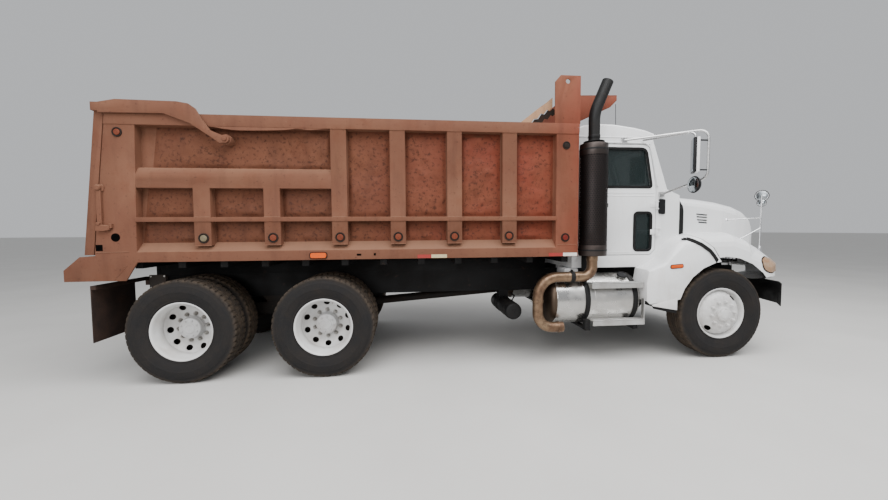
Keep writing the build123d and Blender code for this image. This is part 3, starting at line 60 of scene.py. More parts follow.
class Tree:
    """Short names for building one material's nodes."""

    def __init__(self, name):
        self.material = bpy.data.materials.new(name)
        self.material.use_nodes = True
        self.nodes = self.material.node_tree.nodes
        self.links = self.material.node_tree.links
        self.shader = self.nodes["Principled BSDF"]
        self.place = self.nodes.new("ShaderNodeTexCoord").outputs["Object"]

    def link(self, source, socket):
        if hasattr(source, "links"):
            self.links.new(source, socket)
        else:
            socket.default_value = source

    def stretched(self, scale):
        mapping = self.nodes.new("ShaderNodeMapping")
        mapping.inputs["Scale"].default_value = scale
        self.links.new(self.place, mapping.inputs["Vector"])
        return mapping.outputs["Vector"]

    def noise(self, scale, detail=4.0, rough=0.55, vector=None, distort=0.0):
        node = self.nodes.new("ShaderNodeTexNoise")
        node.inputs["Scale"].default_value = scale
        node.inputs["Detail"].default_value = detail
        node.inputs["Roughness"].default_value = rough
        node.inputs["Distortion"].default_value = distort
        self.links.new(vector or self.place, node.inputs["Vector"])
        return node.outputs["Fac"]

    def ramp(self, value, low, high, a=0.0, b=1.0):
        node = self.nodes.new("ShaderNodeMapRange")
        node.inputs["From Min"].default_value = low
        node.inputs["From Max"].default_value = high
        node.inputs["To Min"].default_value = a
        node.inputs["To Max"].default_value = b
        self.link(value, node.inputs["Value"])
        return node.outputs["Result"]

    def math(self, operation, a, b=0.0):
        node = self.nodes.new("ShaderNodeMath")
        node.operation = operation
        self.link(a, node.inputs[0])
        self.link(b, node.inputs[1])
        return node.outputs["Value"]

    def mix(self, share, a, b):
        node = self.nodes.new("ShaderNodeMix")
        node.data_type = "RGBA"
        self.link(share, node.inputs["Factor"])
        for value, socket in ((a, node.inputs[6]), (b, node.inputs[7])):
            self.link(value if hasattr(value, "links") else (*value, 1.0), socket)
        return node.outputs[2]

    def axis(self, name):
        node = self.nodes.new("ShaderNodeSeparateXYZ")
        self.links.new(self.place, node.inputs[0])
        return node.outputs[name]

    def normal_axis(self, name):
        geometry = self.nodes.new("ShaderNodeNewGeometry")
        node = self.nodes.new("ShaderNodeSeparateXYZ")
        self.links.new(geometry.outputs["Normal"], node.inputs[0])
        return node.outputs[name]

    def inside(self):
        """1 under a shell and on its faces towards the truck's middle, in the object's own frame: the mask
        of the painted shade.
        """
        way = self.nodes.new("ShaderNodeSeparateXYZ")
        coordinates = self.nodes.new("ShaderNodeTexCoord")
        self.links.new(coordinates.outputs["Normal"], way.inputs[0])
        outward = self.math("MULTIPLY", way.outputs["Y"], self.math("SIGN", self.axis("Y")))
        under = self.math("LESS_THAN", way.outputs["Z"], -0.15)
        return self.math("MAXIMUM", under, self.math("LESS_THAN", outward, -0.25))

    def mark(self, name):
        node = self.nodes.new("ShaderNodeAttribute")
        node.attribute_name = name
        return node.outputs["Fac"]

    def bump(self, height, strength=0.3, distance=0.002):
        node = self.nodes.new("ShaderNodeBump")
        node.inputs["Strength"].default_value = strength
        node.inputs["Distance"].default_value = distance
        self.links.new(height, node.inputs["Height"])
        last = self.shader.inputs["Normal"]
        if last.links:
            self.links.new(last.links[0].from_socket, node.inputs["Normal"])
        self.links.new(node.outputs["Normal"], last)

    def finish(self, color, rough, metal=0.0, **more):
        if not metal and "Specular_IOR_Level" not in more:
            self.shader.inputs["Specular IOR Level"].default_value = DULL
        self.link(color if hasattr(color, "links") else (*color, 1.0), self.shader.inputs["Base Color"])
        self.link(rough, self.shader.inputs["Roughness"])
        self.shader.inputs["Metallic"].default_value = metal
        for name, value in more.items():
            self.shader.inputs[name.replace("_", " ")].default_value = value
        return self.material


def painted(name, color, dirt, rough=0.4, dirt_top=1.3, chips=(0.1, 0.05, 0.03), chip_low=0.74,
            low_share=0.5, inner_shade=None):
    """Enamel with dust towards the ground, rain streaks and rusty chips, and near-black painted shade under
    it and on its inner faces.
    """
    t = Tree(name)
    tone = t.ramp(t.noise(1.3, 3), 0.35, 0.65, 0.0, 0.1)
    base = t.mix(tone, color, shade_of(color, 0.85))
    streaks = t.ramp(t.noise(7.0, 5, vector=t.stretched((3.0, 3.0, 0.35))), 0.54, 0.8, 0.0, 0.22)
    low = t.ramp(t.axis("Z"), dirt_top, 0.45, 0.0, low_share)
    patchy = t.ramp(t.noise(5.0, 6), 0.35, 0.7)
    dust = t.math("ADD", streaks, t.math("MULTIPLY", low, patchy))
    base = t.mix(t.math("MINIMUM", dust, 0.8), base, dirt)
    chip = t.ramp(t.noise(26.0, 6, 0.7), chip_low, chip_low + 0.03)
    base = t.mix(chip, base, chips)
    # Near-black painted shade under the shell and on its faces towards the truck's middle, in two mottled
    # tones.
    if inner_shade:
        cloud = t.ramp(t.noise(9.0, 5), 0.4, 0.7)
        base = t.mix(t.inside(), base, t.mix(cloud, inner_shade, shade_of(inner_shade, 2.2)))
    t.bump(t.noise(2.5, 3), 0.1, 0.01)
    t.bump(t.noise(90.0, 3), 0.06, 0.001)
    return t.finish(base, t.ramp(dust, 0.0, 0.8, rough, 0.85), 0.0, Specular_IOR_Level=GLOSSY)


def oxide(name, red, brown, dark, pale, shade, x_low, x_high, dusty, spot_low=0.6, red_share=0.8):
    """Oxide paint on worn steel, redder ahead of x_low: scraped, streaked, rusty and dusty on top."""
    t = Tree(name)
    ahead = t.ramp(t.axis("X"), x_low, x_high, 0.0, red_share)
    cloud = t.ramp(t.noise(2.2, 6), 0.32, 0.7)
    base = t.mix(ahead, brown, red)
    base = t.mix(t.math("MULTIPLY", cloud, 0.4), base, pale)
    patches = t.ramp(t.noise(4.5, 7, 0.62), 0.5, 0.66, 0.0, 0.35)
    base = t.mix(patches, base, shade)
    streaks = t.ramp(t.noise(4.0, 6, vector=t.stretched((2.2, 2.2, 0.4))), 0.5, 0.8, 0.0, 0.35)
    base = t.mix(streaks, base, dark)
    spots = t.ramp(t.noise(30.0, 7, 0.7), spot_low, spot_low + 0.1, 0.0, 0.6)
    base = t.mix(spots, base, dark)
    flecks = t.ramp(t.noise(55.0, 5, 0.6), 0.66, 0.73, 0.0, 0.5)
    base = t.mix(flecks, base, pale)
    up = t.ramp(t.normal_axis("Z"), 0.3, 0.9, 0.0, 0.65)
    base = t.mix(up, base, dusty)
    t.bump(t.noise(5.0, 5), 0.3, 0.012)
    t.bump(t.noise(24.0, 6), 0.25, 0.004)
    t.bump(t.noise(90.0, 5), 0.3, 0.0012)
    return t.finish(base, t.ramp(cloud, 0, 1, 0.7, 0.92))


def rubber(name, color, dust, share=0.5, tread=None):
    """Rubber with patchy dust, and a dustier tread where its mark says so."""
    t = Tree(name)
    amount = t.ramp(t.noise(7.0, 6), 0.38, 0.72, 0.08, share)
    grit = t.ramp(t.noise(80.0, 4), 0.45, 0.75, 0.0, 0.22)
    base = t.mix(t.math("ADD", amount, grit), color, dust)
    if tread:
        caked = t.ramp(t.noise(16.0, 6, 0.65), 0.36, 0.62, 0.25, 0.95)
        base = t.mix(t.math("MULTIPLY", t.mark("tread"), caked), base, tread)
    t.bump(t.noise(26.0, 5), 0.18, 0.003)
    t.bump(t.noise(140.0, 4), 0.25, 0.001)
    return t.finish(base, t.ramp(amount, 0, share, 0.74, 0.95))


def dark_metal(name, color, dust, rough=0.6, share=0.5, rusty=0.5):
    """Painted or greasy iron, dusty on top and rusty in patches."""
    t = Tree(name)
    amount = t.ramp(t.noise(4.0, 6), 0.4, 0.75, 0.0, share)
    rust = t.ramp(t.noise(14.0, 6, 0.65), 0.6, 0.75, 0.0, rusty)
    base = t.mix(amount, color, dust)
    base = t.mix(rust, base, (0.11, 0.05, 0.03))
    up = t.ramp(t.normal_axis("Z"), 0.5, 0.95, 0.0, share)
    base = t.mix(up, base, dust)
    t.bump(t.noise(60.0, 4), 0.2, 0.0015)
    return t.finish(base, t.ramp(amount, 0, share, rough, 0.9))


def bright_metal(name, color, rough, stretch, stain=(0.16, 0.12, 0.09), stain_share=0.4, grain=160.0):
    """Bare metal with fine brushing along one axis, and stains."""
    t = Tree(name)
    brushing = t.noise(grain, 3, vector=t.stretched(stretch))
    stains = t.ramp(t.noise(5.0, 6), 0.46, 0.75, 0.0, stain_share)
    brushed = t.mix(t.ramp(brushing, 0.3, 0.7, 0.0, 0.35), color, shade_of(color, 0.7))
    base = t.mix(stains, brushed, stain)
    t.bump(brushing, 0.1, 0.0008)
    return t.finish(base, t.ramp(stains, 0, stain_share, rough, 0.7), 1.0)


def heat_stained(name):
    """Exhaust steel: straw, tan and brown bands of heat, with rust."""
    t = Tree(name)
    band = t.ramp(t.noise(4.0, 5, 0.6, distort=0.6), 0.35, 0.66)
    base = t.mix(band, (0.13, 0.072, 0.042), (0.3, 0.205, 0.128))
    brown = t.ramp(t.noise(9.0, 6, 0.6), 0.5, 0.7, 0.0, 0.8)
    base = t.mix(brown, base, (0.068, 0.032, 0.02))
    soot = t.ramp(t.noise(22.0, 6, 0.65), 0.56, 0.72, 0.0, 0.6)
    base = t.mix(soot, base, (0.035, 0.025, 0.02))
    t.bump(t.noise(40.0, 5), 0.3, 0.0015)
    return t.finish(base, t.ramp(brown, 0.0, 0.8, 0.38, 0.62), 0.75)


def glass():
    """Dark tinted glass, a little see-through."""
    t = Tree("tinted_glass")
    t.bump(t.noise(3.0, 2), 0.02, 0.002)
    return t.finish((0.016, 0.024, 0.024), 0.04, 0.0, Alpha=0.66, IOR=1.5, Specular_IOR_Level=GLOSSY)


def plastic(name, color, rough=0.5, second=None):
    """Plastic, paint or tape in two close tones."""
    t = Tree(name)
    t.bump(t.noise(220.0, 3), 0.15, 0.0006)
    tone = t.ramp(t.noise(12.0, 5), 0.42, 0.7, 0.0, 0.6)
    base = t.mix(tone, color, second or shade_of(color, 0.7))
    return t.finish(base, t.ramp(tone, 0, 0.6, rough, rough + 0.2))


ENAMEL = ((0.8, 0.805, 0.81), (0.4, 0.33, 0.26), 0.22)
ALL_WAYS, UPRIGHT = (1.0, 1.0, 1.0), (3.0, 3.0, 0.25)
WHITE = painted("cab_enamel", *ENAMEL)
# The hood's shell enamel, with near-black painted shade under it and on its inner faces.
SHELL = painted("hood_enamel", *ENAMEL, inner_shade=(0.01, 0.0095, 0.009))
BODY = oxide("oxide_steel", (0.19, 0.034, 0.016), (0.135, 0.052, 0.029), (0.034, 0.012, 0.008),
             (0.215, 0.11, 0.068), (0.13, 0.042, 0.021), 0.6, 1.16, dusty=(0.25, 0.14, 0.088))
SKIN = oxide("oxide_panel", (0.165, 0.029, 0.014), (0.108, 0.037, 0.019), (0.018, 0.007, 0.005),
             (0.18, 0.076, 0.042), (0.078, 0.021, 0.01), -1.5, 0.9, spot_low=0.53, red_share=1.0,
             dusty=(0.17, 0.09, 0.052))
TAN = oxide("bare_brace", (0.36, 0.2, 0.11), (0.34, 0.2, 0.12), (0.1, 0.045, 0.02), (0.45, 0.3, 0.19),
            (0.26, 0.13, 0.07), -0.2, 1.15, dusty=(0.34, 0.22, 0.14))
TYRE = rubber("tyre_rubber", (0.008, 0.008, 0.009), (0.036, 0.029, 0.024), 0.4, tread=(0.09, 0.064, 0.042))
FLAP = rubber("flap_rubber", (0.02, 0.013, 0.011), (0.07, 0.04, 0.029), 0.55)
SEAL = rubber("seal_rubber", (0.004, 0.004, 0.0045), (0.022, 0.02, 0.018), 0.2)
WHEEL = painted("wheel_enamel", (0.66, 0.66, 0.655), (0.28, 0.22, 0.17), 0.32, dirt_top=1.0, low_share=0.4)
HUB = painted("hub_enamel", (0.5, 0.5, 0.5), (0.2, 0.15, 0.12), 0.4, dirt_top=1.2)
GRIMY = dark_metal("grimy_steel", (0.016, 0.012, 0.01), (0.04, 0.029, 0.022), share=0.7)
FRAME = dark_metal("frame_paint", (0.0035, 0.0035, 0.004), (0.013, 0.01, 0.008), share=0.35, rusty=0.25)
AXLE = dark_metal("axle_iron", (0.009, 0.007, 0.006), (0.03, 0.021, 0.016), share=0.7)
BLACK = dark_metal("black_paint", (0.006, 0.006, 0.0065), (0.024, 0.021, 0.018), 0.45, 0.3, 0.15)
TANK = bright_metal("tank_aluminium", (0.58, 0.57, 0.55), 0.24, (6.0, 0.4, 0.4), (0.26, 0.22, 0.18), 0.14)
# A dark brown copy of the tank's aluminium for its rear dome: painted shade, tinted brown as a painted
# reflection of the pipe.
DOME_SHADE = bright_metal("tank_dome_painted_shade", (0.085, 0.062, 0.046), 0.42, (3.0, 1.0, 1.0), (0.04, 0.028, 0.02), 0.6)
STEP = bright_metal("step_aluminium", (0.66, 0.66, 0.65), 0.36, (0.6, 3.0, 3.0))
CHROME = bright_metal("chrome_plate", (0.82, 0.82, 0.83), 0.09, ALL_WAYS, stain_share=0.08)
TUBE = bright_metal("mirror_tube", (0.6, 0.6, 0.6), 0.28, ALL_WAYS, stain_share=0.3)
NUT = bright_metal("zinc_nuts", (0.36, 0.35, 0.33), 0.38, ALL_WAYS, stain_share=0.5)
MUFFLER = bright_metal("guard_steel", (0.04, 0.033, 0.032), 0.45, UPRIGHT, (0.03, 0.02, 0.017), 0.5, 60.0)
BAND = bright_metal("band_steel", (0.072, 0.06, 0.056), 0.42, UPRIGHT, (0.05, 0.036, 0.03), 0.5, 60.0)
STACK = dark_metal("sooty_pipe", (0.005, 0.005, 0.005), (0.02, 0.017, 0.016), 0.5, 0.5, 0.2)
PIPE = heat_stained("pipe_steel")
GLASS = glass()
MIRROR = bright_metal("mirror_glass", (0.36, 0.39, 0.41), 0.03, ALL_WAYS, stain_share=0.05)
TRIM = plastic("black_plastic", (0.007, 0.007, 0.008), 0.45)
CABIN = plastic("cabin_trim", (0.085, 0.078, 0.07), 0.6)
LENS = plastic("lamp_lens", (0.29, 0.17, 0.095), 0.12, (0.4, 0.31, 0.23))
AMBER = plastic("amber_lens", (0.62, 0.09, 0.008), 0.25, (0.48, 0.06, 0.006))
RED = plastic("red_lens", (0.15, 0.016, 0.01), 0.4)
ORANGE = plastic("faded_lens", (0.16, 0.036, 0.015), 0.55, (0.1, 0.024, 0.012))
CLEAR = plastic("clear_lens", (0.17, 0.14, 0.085), 0.4)
GROMMET = plastic("grommet", (0.014, 0.01, 0.008), 0.8, (0.034, 0.018, 0.012))
TAPE_WHITE = plastic("white_tape", (0.72, 0.68, 0.62), 0.4, (0.55, 0.48, 0.42))
TAPE_PALE = plastic("pale_tape", (0.55, 0.47, 0.27), 0.4, (0.4, 0.33, 0.2))
TAPE_RED = plastic("red_tape", (0.3, 0.035, 0.03), 0.4, (0.22, 0.04, 0.03))
# Near-black sheet laid on the side where it has holes: painted shade for the holes' insides.
HOLE_SHADE = plastic("hole_painted_shade", (0.001, 0.001, 0.001), 0.9)
HOLE_SHADE.node_tree.nodes["Principled BSDF"].inputs["Specular IOR Level"].default_value = SHEEN_OF_A_HOLE

LOOKS = {"frame": FRAME, "front_axle": AXLE, "drive_axles": AXLE, "suspension": AXLE, "engine": AXLE,
         "driveline": AXLE, "bumper": BLACK, "fuel_tanks": TANK, "tank_steps": STEP, "muffler": MUFFLER,
         "exhaust_pipes": PIPE, "air_tank": BLACK, "mud_flaps": FLAP, "cab_interior": CABIN,
         "mirrors": CHROME, "hood_mirrors": CHROME, "hoist_mount": BLACK, "hoist_barrels": BLACK,
         "hoist_rods": CHROME, "grille": CHROME, "headlamps": LENS, "bed_underframe": FRAME, "cab": WHITE,
         "hood": SHELL, "fender_extensions": SHELL, "door_left": WHITE, "door_right": WHITE}
SLOTS = {"frame": "frame_black", "front_axle": "axle_iron", "drive_axles": "axle_iron",
         "suspension": "axle_iron", "engine": "axle_iron", "driveline": "axle_iron",
         "bed_underframe": "frame_black", "cab": "cab_white", "hood": "cab_white",
         "fender_extensions": "cab_white", "door_left": "cab_white", "door_right": "cab_white",
         "bumper": "black_steel", "knuckle_left": "axle_iron", "knuckle_right": "axle_iron",
         "cab_interior": "interior_plastic", "mud_flaps": "black_rubber", "hoist_barrels": "black_steel"}


def look_of(name):
    if name in LOOKS:
        return LOOKS[name]
    for word, look in (("glass", GLASS), ("tyre", TYRE), ("wheel", WHEEL), ("knuckle", AXLE)):
        if word in name:
            return look
    return BODY


for name, node in NODES.items():
    node.data.materials.clear()
    node.data.materials.append(look_of(name))


# Mesh making. The right side, which the photograph shows, is at -Y.

AHEAD, OUT, UP = (1, 0, 0), (0, -1, 0), (0, 0, 1)
FAR_OUT = 4.0             # from the middle, well outside the truck
FENDER_Y = 1.1            # where the nearest face is looked for when a line misses
PAD_SINK = 0.004          # how far a pad's edge goes into its surface
FLAT_ANGLE, SHARP_ANGLE = 0.4, 32   # degrees: faces that join into one, and edges that get rounded


class Maker:
    """Gathers one piece's faces from closed forms."""

    def __init__(self):
        self.bm = bmesh.new()
        self.looks = []

    def face(self, verts, look):
        if look not in self.looks:
            self.looks.append(look)
        made = self.bm.faces.new(verts)
        made.material_index = self.looks.index(look)
        made.smooth = True

    def rings(self, rings, look, closed=False):
        """Skins a row of rings; a ring of one point is a pole."""
        for k, (a, b) in enumerate(zip(rings, rings[1:] + rings[:1] if closed else rings[1:])):
            count = max(len(a), len(b))
            for i in range(count):
                j = (i + 1) % count
                if len(a) == 1:
                    self.face((a[0], b[i], b[j]), look)
                elif len(b) == 1:
                    self.face((a[i], b[0], a[j]), look)
                else:
                    self.face((a[i], b[i], b[j], a[j]), look)

    def lathe(self, profile, origin, axis, look, sides=48, closed=False):
        """Turns (radius, height) points round an axis. Open profiles start and end on the axis."""
        origin, axis = Vector(origin), Vector(axis).normalized()
        u = (Vector(UP) - axis * axis.z).normalized() if abs(axis.z) < 0.9 else Vector(AHEAD)
        v = axis.cross(u)
        turn = [2 * math.pi * k / sides for k in range(sides)]
        rings = []
        for radius, height in profile:
            centre = origin + axis * height
            spokes = [(u * math.cos(a) + v * math.sin(a)) * radius
                      for a in turn] if radius > 1e-6 else [Vector()]
            rings.append([self.bm.verts.new(centre + spoke) for spoke in spokes])
        self.rings(rings, look, closed)

    def tube(self, path, radius, look, sides=14, wall=0.0, radii=None):
        """A round bar along a path, or a pipe with a wall and open ends."""
        path = [Vector(p) for p in path]
        legs = [(b - a).normalized() for a, b in zip(path, path[1:])]
        ways = [legs[0]] + [(a + b).normalized() for a, b in zip(legs, legs[1:])] + [legs[-1]]
        up = ways[0].orthogonal().normalized()
        turn = [2 * math.pi * i / sides for i in range(sides)]
        outer, inner = [], []
        for k, (point, way) in enumerate(zip(path, ways)):
            up = (up - way * up.dot(way)).normalized()
            side = way.cross(up)
            r = radii[k] if radii else radius
            spokes = [up * math.cos(a) + side * math.sin(a) for a in turn]
            outer.append([self.bm.verts.new(point + spoke * r) for spoke in spokes])
            if wall:
                inner.append([self.bm.verts.new(point + spoke * (r - wall)) for spoke in spokes])
        if wall:
            self.rings(outer + inner[::-1], look, closed=True)
        else:
            ends = [[self.bm.verts.new(path[0])], [self.bm.verts.new(path[-1])]]
            self.rings([ends[0]] + outer + [ends[1]], look)

    def prism(self, points, shift, look, shrink=0.0):
        """An outline moved along a vector; the far end may shrink towards its middle."""
        points, shift = [Vector(p) for p in points], Vector(shift)
        middle = sum(points, Vector()) / len(points)
        near = [self.bm.verts.new(p) for p in points]
        far = [self.bm.verts.new(middle + (p - middle) * (1 - shrink) + shift) for p in points]
        self.face(near[::-1], look)
        self.face(far, look)
        for i in range(len(points)):
            j = (i + 1) % len(points)
            self.face((near[i], near[j], far[j], far[i]), look)

    def box(self, x0, x1, y0, y1, z0, z1, look):
        self.prism([(x0, y0, z0), (x1, y0, z0), (x1, y1, z0), (x0, y1, z0)], (0, 0, z1 - z0), look)

    def hoop(self, outer, inner, shift, look):
        """The band between two outlines with as many points, moved along a vector."""
        still, shift = Vector(), Vector(shift)
        rows = [[self.bm.verts.new(Vector(p) + move) for p in line] for line,
                move in ((outer, still), (outer, shift), (inner, shift), (inner, still))]
        self.rings(rows, look, closed=True)

    def nut(self, origin, axis, radius, height, look, stub=True):
        """A flanged hexagon nut on the end of its stud."""
        self.lathe([(0, 0), (radius * 1.25, 0), (radius * 1.2, height * 0.2), (0, height * 0.2)], origin,
                   axis, look, 14)
        base = Vector(origin) + Vector(axis).normalized() * height * 0.15
        self.lathe([(0, 0), (radius, 0), (radius, height * 0.75), (radius * 0.8, height * 0.9),
                    (0, height * 0.9)], base, axis, look, 6)
        if stub:
            self.lathe([(0, 0), (radius * 0.5, 0), (radius * 0.5, height * 1.4),
                        (radius * 0.4, height * 1.5), (0, height * 1.5)], origin, axis, look, 8)

    def add(self, other, place):
        """Takes over another maker's faces, moved by a matrix."""
        verts = {v: self.bm.verts.new(place @ v.co) for v in other.bm.verts}
        for face in other.bm.faces:
            self.face([verts[v] for v in face.verts], other.looks[face.material_index])
        other.bm.free()

    def bevel(self, width, segments=2, angle=30, near=None):
        """Rounds the edges sharper than an angle in degrees, all of them or those that pass a test."""
        bm = self.bm
        bmesh.ops.remove_doubles(bm, verts=bm.verts, dist=1e-6)
        bmesh.ops.recalc_face_normals(bm, faces=bm.faces)
        edges = [e for e in bm.edges if len(e.link_faces) == 2
                 and e.calc_face_angle(0) > math.radians(angle)
                 and (near is None or all(near(v.co) for v in e.verts))]
        bmesh.ops.bevel(bm, geom=edges, offset=width, offset_type="OFFSET", segments=segments, profile=0.5,
                        affect="EDGES", clamp_overlap=True, material=-1)
        for face in bm.faces:
            face.smooth = True

    def finish(self, name, body, slot, replaces=(), both=False, left=False, smooth=35, marks=None):
        """Makes the piece; left puts it on the left side, and both adds its mirror image there."""
        bm = self.bm
        if left:
            for v in bm.verts:
                v.co.y = -v.co.y
        bmesh.ops.remove_doubles(bm, verts=bm.verts, dist=1e-6)
        bmesh.ops.recalc_face_normals(bm, faces=bm.faces)
        if both:
            fresh = bmesh.ops.duplicate(bm, geom=bm.verts[:] + bm.edges[:] + bm.faces[:])["geom"]
            for part in fresh:
                if isinstance(part, bmesh.types.BMVert):
                    part.co.y = -part.co.y
            bmesh.ops.reverse_faces(bm,
                                    faces=[part for part in fresh if isinstance(part, bmesh.types.BMFace)])
        mesh = bpy.data.meshes.new(name)
        bm.to_mesh(mesh)
        bm.free()
        for look in self.looks:
            mesh.materials.append(look)
        mesh.set_sharp_from_angle(angle=math.radians(smooth))
        piece = bpy.data.objects.new(name, mesh)
        bpy.context.scene.collection.objects.link(piece)
        if marks:
            layer = mesh.attributes.new("tread", "FLOAT", "POINT")
            layer.data.foreach_set("value", [marks(v.co) for v in mesh.vertices])
        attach(piece, body)
        for node in replaces:
            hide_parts(node)


def bent(points, radii, step=9.0):
    """A path along corners that arcs round off."""
    path = [Vector(points[0])]
    for before, corner, after, radius in zip(points, points[1:], points[2:], radii):
        p, c, n = Vector(before), Vector(corner), Vector(after)
        a, b = (p - c).normalized(), (n - c).normalized()
        angle = a.angle(b)
        turn = math.pi - angle
        centre = c + (a + b).normalized() * (radius / math.sin(angle / 2))
        reach = radius / math.tan(angle / 2)
        u, w = (c + a * reach - centre).normalized(), (c + b * reach - centre).normalized()
        count = max(3, int(math.degrees(turn) / step))
        for k in range(count + 1):
            s = k / count
            spoke = (u * math.sin((1 - s) * turn) + w * math.sin(s * turn)) / math.sin(turn)
            path.append(centre + spoke * radius)
    path.append(Vector(points[-1]))
    return path


def rounded(points, radius, steps=5):
    """A closed (x, z) outline with its corners rounded."""
    out = []
    points = [Vector(p) for p in points]
    count = len(points)
    radii = radius if isinstance(radius, (list, tuple)) else [radius] * count
    for k in range(count):
        p, c, n = (points[(k + i) % count] for i in (-1, 0, 1))
        a, b = (p - c), (n - c)
        reach = min(radii[k], a.length * 0.45, b.length * 0.45)
        start, end = c + a.normalized() * reach, c + b.normalized() * reach
        for i in range(steps + 1):
            s = i / steps
            out.append((start * (1 - s) ** 2 + c * 2 * s * (1 - s) + end * s ** 2))
    return out


def grown(outline, by):
    """A closed outline of 2-D points moved outwards."""
    outline = [Vector(p) for p in outline]
    area = sum(a.x * b.y - b.x * a.y for a, b in zip(outline, outline[1:] + outline[:1]))
    sign = 1 if area > 0 else -1
    out = []
    count = len(outline)
    for k in range(count):
        way = outline[(k + 1) % count] - outline[k - 1]
        side = Vector((way.y, -way.x)).normalized() * sign
        out.append(outline[k] + side * by)
    return out


def at(outline, y):
    """(x, z) outline points at a distance from the middle."""
    return [(p[0], y, p[1]) for p in outline]


def surface(name):
    """A search tree over a CAD node's faces."""
    mesh = NODES[name].data
    return BVHTree.FromPolygons([v.co.copy() for v in mesh.vertices],
                                [p.vertices[:] for p in mesh.polygons])


def laid(tree, x, z):
    """Where a line from the right side meets a surface, and which way it faces there."""
    hit, normal = tree.ray_cast(Vector((x, -FAR_OUT, z)), Vector((0, 1, 0)), 2 * FAR_OUT)[:2]
    if hit is None:
        hit, normal = tree.find_nearest(Vector((x, -FENDER_Y, z)))[:2]
    if normal.y > 0:
        normal = -normal
    return hit, normal


def pad(maker, tree, outline, lift, look, rings=4, dome=0.0):
    """A raised pad on a curved side surface, inside an (x, z) outline."""
    middle = sum(outline, Vector((0, 0))) / len(outline)
    rows = []
    for k in range(rings + 1):
        share = 1 - k / rings
        height = lift + dome * (1 - share ** 2)
        points = [middle + (p - middle) * share for p in outline] if share > 0 else [middle]
        row = []
        for p in points:
            hit, normal = laid(tree, p.x, p.y)
            row.append(maker.bm.verts.new(hit + normal * height))
        rows.append(row)
    foot = []
    for p in outline:
        hit, normal = laid(tree, p.x, p.y)
        foot.append(maker.bm.verts.new(hit - normal * PAD_SINK))
    hit, normal = laid(tree, middle.x, middle.y)
    under = maker.bm.verts.new(hit - normal * PAD_SINK)
    maker.rings([[under], foot] + rows, look)


def soften(name, width, segments=2, edit=None):
    """A copy of a CAD node with its edges rounded, which stands for it."""
    maker = Maker()
    bm = maker.bm
    bm.from_mesh(NODES[name].data)
    maker.looks = [look_of(name)]
    bmesh.ops.remove_doubles(bm, verts=bm.verts, dist=1e-5)
    bmesh.ops.dissolve_limit(bm, angle_limit=math.radians(FLAT_ANGLE), use_dissolve_boundaries=False,
                             verts=bm.verts, edges=bm.edges)
    for face in bm.faces:
        face.material_index = 0
    if edit:
        edit(maker)
    maker.bevel(width, segments, SHARP_ANGLE)
    maker.finish(name + "_rounded", BODY_OF[name], SLOTS.get(name, "body_brown"), [name])


# Where the pieces lie, in metres

FRONT_AXLE, MIDDLE_AXLE, REAR_AXLE, AXLE_Z = 2.97, -1.551, -2.923, 0.523
OUTER_MID, INNER_MID, FRONT_MID = 1.08, 0.745, 1.028
RIM_HALF = 0.115
BED_FRONT, BED_REAR, SIDE_Y, SHEET_Y = 1.167, -3.644, 1.22, 1.128
FACE_TOP, SLOPE_TOP, RAIL_FOOT = 1.322, 1.41, 2.535
STRIP_FOOT, STRIP_TOP, BEAM_FOOT, BEAM_TOP = 1.615, 1.659, 1.942, 2.138
RIBS = [BED_FRONT - 0.762 - 0.588 * k for k in range(4)]
SHORT_RIBS = [RIBS[-1] - 0.655, RIBS[-1] - 1.31]
RIB_HALF = 0.0775
COLUMN_REAR, GATE_EDGE = BED_FRONT - 0.25, BED_REAR + 0.369
TANK_REAR, TANK_FRONT, TANK_Y, TANK_Z, TANK_R = 0.884, 1.989, 0.832, 0.7, 0.29
STACK_X, STACK_Y = 1.397, -1.1
AIR_TANK = (0.554, -0.9, 0.56)   # its right end
RAIL_Y = 0.4325           # just outside the frame rails' faces
CAB_Y, DOOR_Y, GRILLE_X = 0.93, 0.9295, 3.9005


# Wheels and tyres

SECTORS, DISC_T, DISC_EDGE = 10, 0.011, 0.2635
DRIVE_FACE, BOLT_CIRCLE, HUB_CIRCLE, STEM_CIRCLE = 0.973, 0.143, 0.079, 0.268
DRIVE_LUGS, STEER_LUGS = (52, 0.009), (64, 0.004)      # round the tyre, and their depth
GROOVED_R, SHOULDER_Y, CENTRE_RIBS_Y = 0.505, 0.1225, 0.063
BETWEEN_TWINS_Y, DUSTY_R, OUTER_DUST = 0.93, 0.488, 0.62


def tyre_profile():
    """Half of a tyre's outline, (radius, distance from its middle plane), bead to the tread's middle."""
    return [(0.2865, 0.098), (0.2885, 0.1035), (0.2995, 0.1062), (0.306, 0.1105), (0.312, 0.1165),
            (0.318, 0.1175), (0.322, 0.1165), (0.34, 0.1245), (0.362, 0.1315), (0.384, 0.136),
            (0.4, 0.1385), (0.4015, 0.1395), (0.4035, 0.1392), (0.42, 0.139), (0.44, 0.1378),
            (0.456, 0.1355), (0.4575, 0.1365), (0.4605, 0.1362), (0.463, 0.1345), (0.48, 0.1305),
            (0.494, 0.1255), (0.497, 0.1262), (0.506, 0.1225), (0.515, 0.1165), (0.52, 0.109),
            (0.5215, 0.098), (0.5222, 0.066), (0.5215, 0.0625), (0.5105, 0.06), (0.5105, 0.054),
            (0.522, 0.0515), (0.5225, 0.026), (0.522, 0.0225), (0.5105, 0.02), (0.5105, 0.014),
            (0.5225, 0.0115), (0.5228, 0.0)]


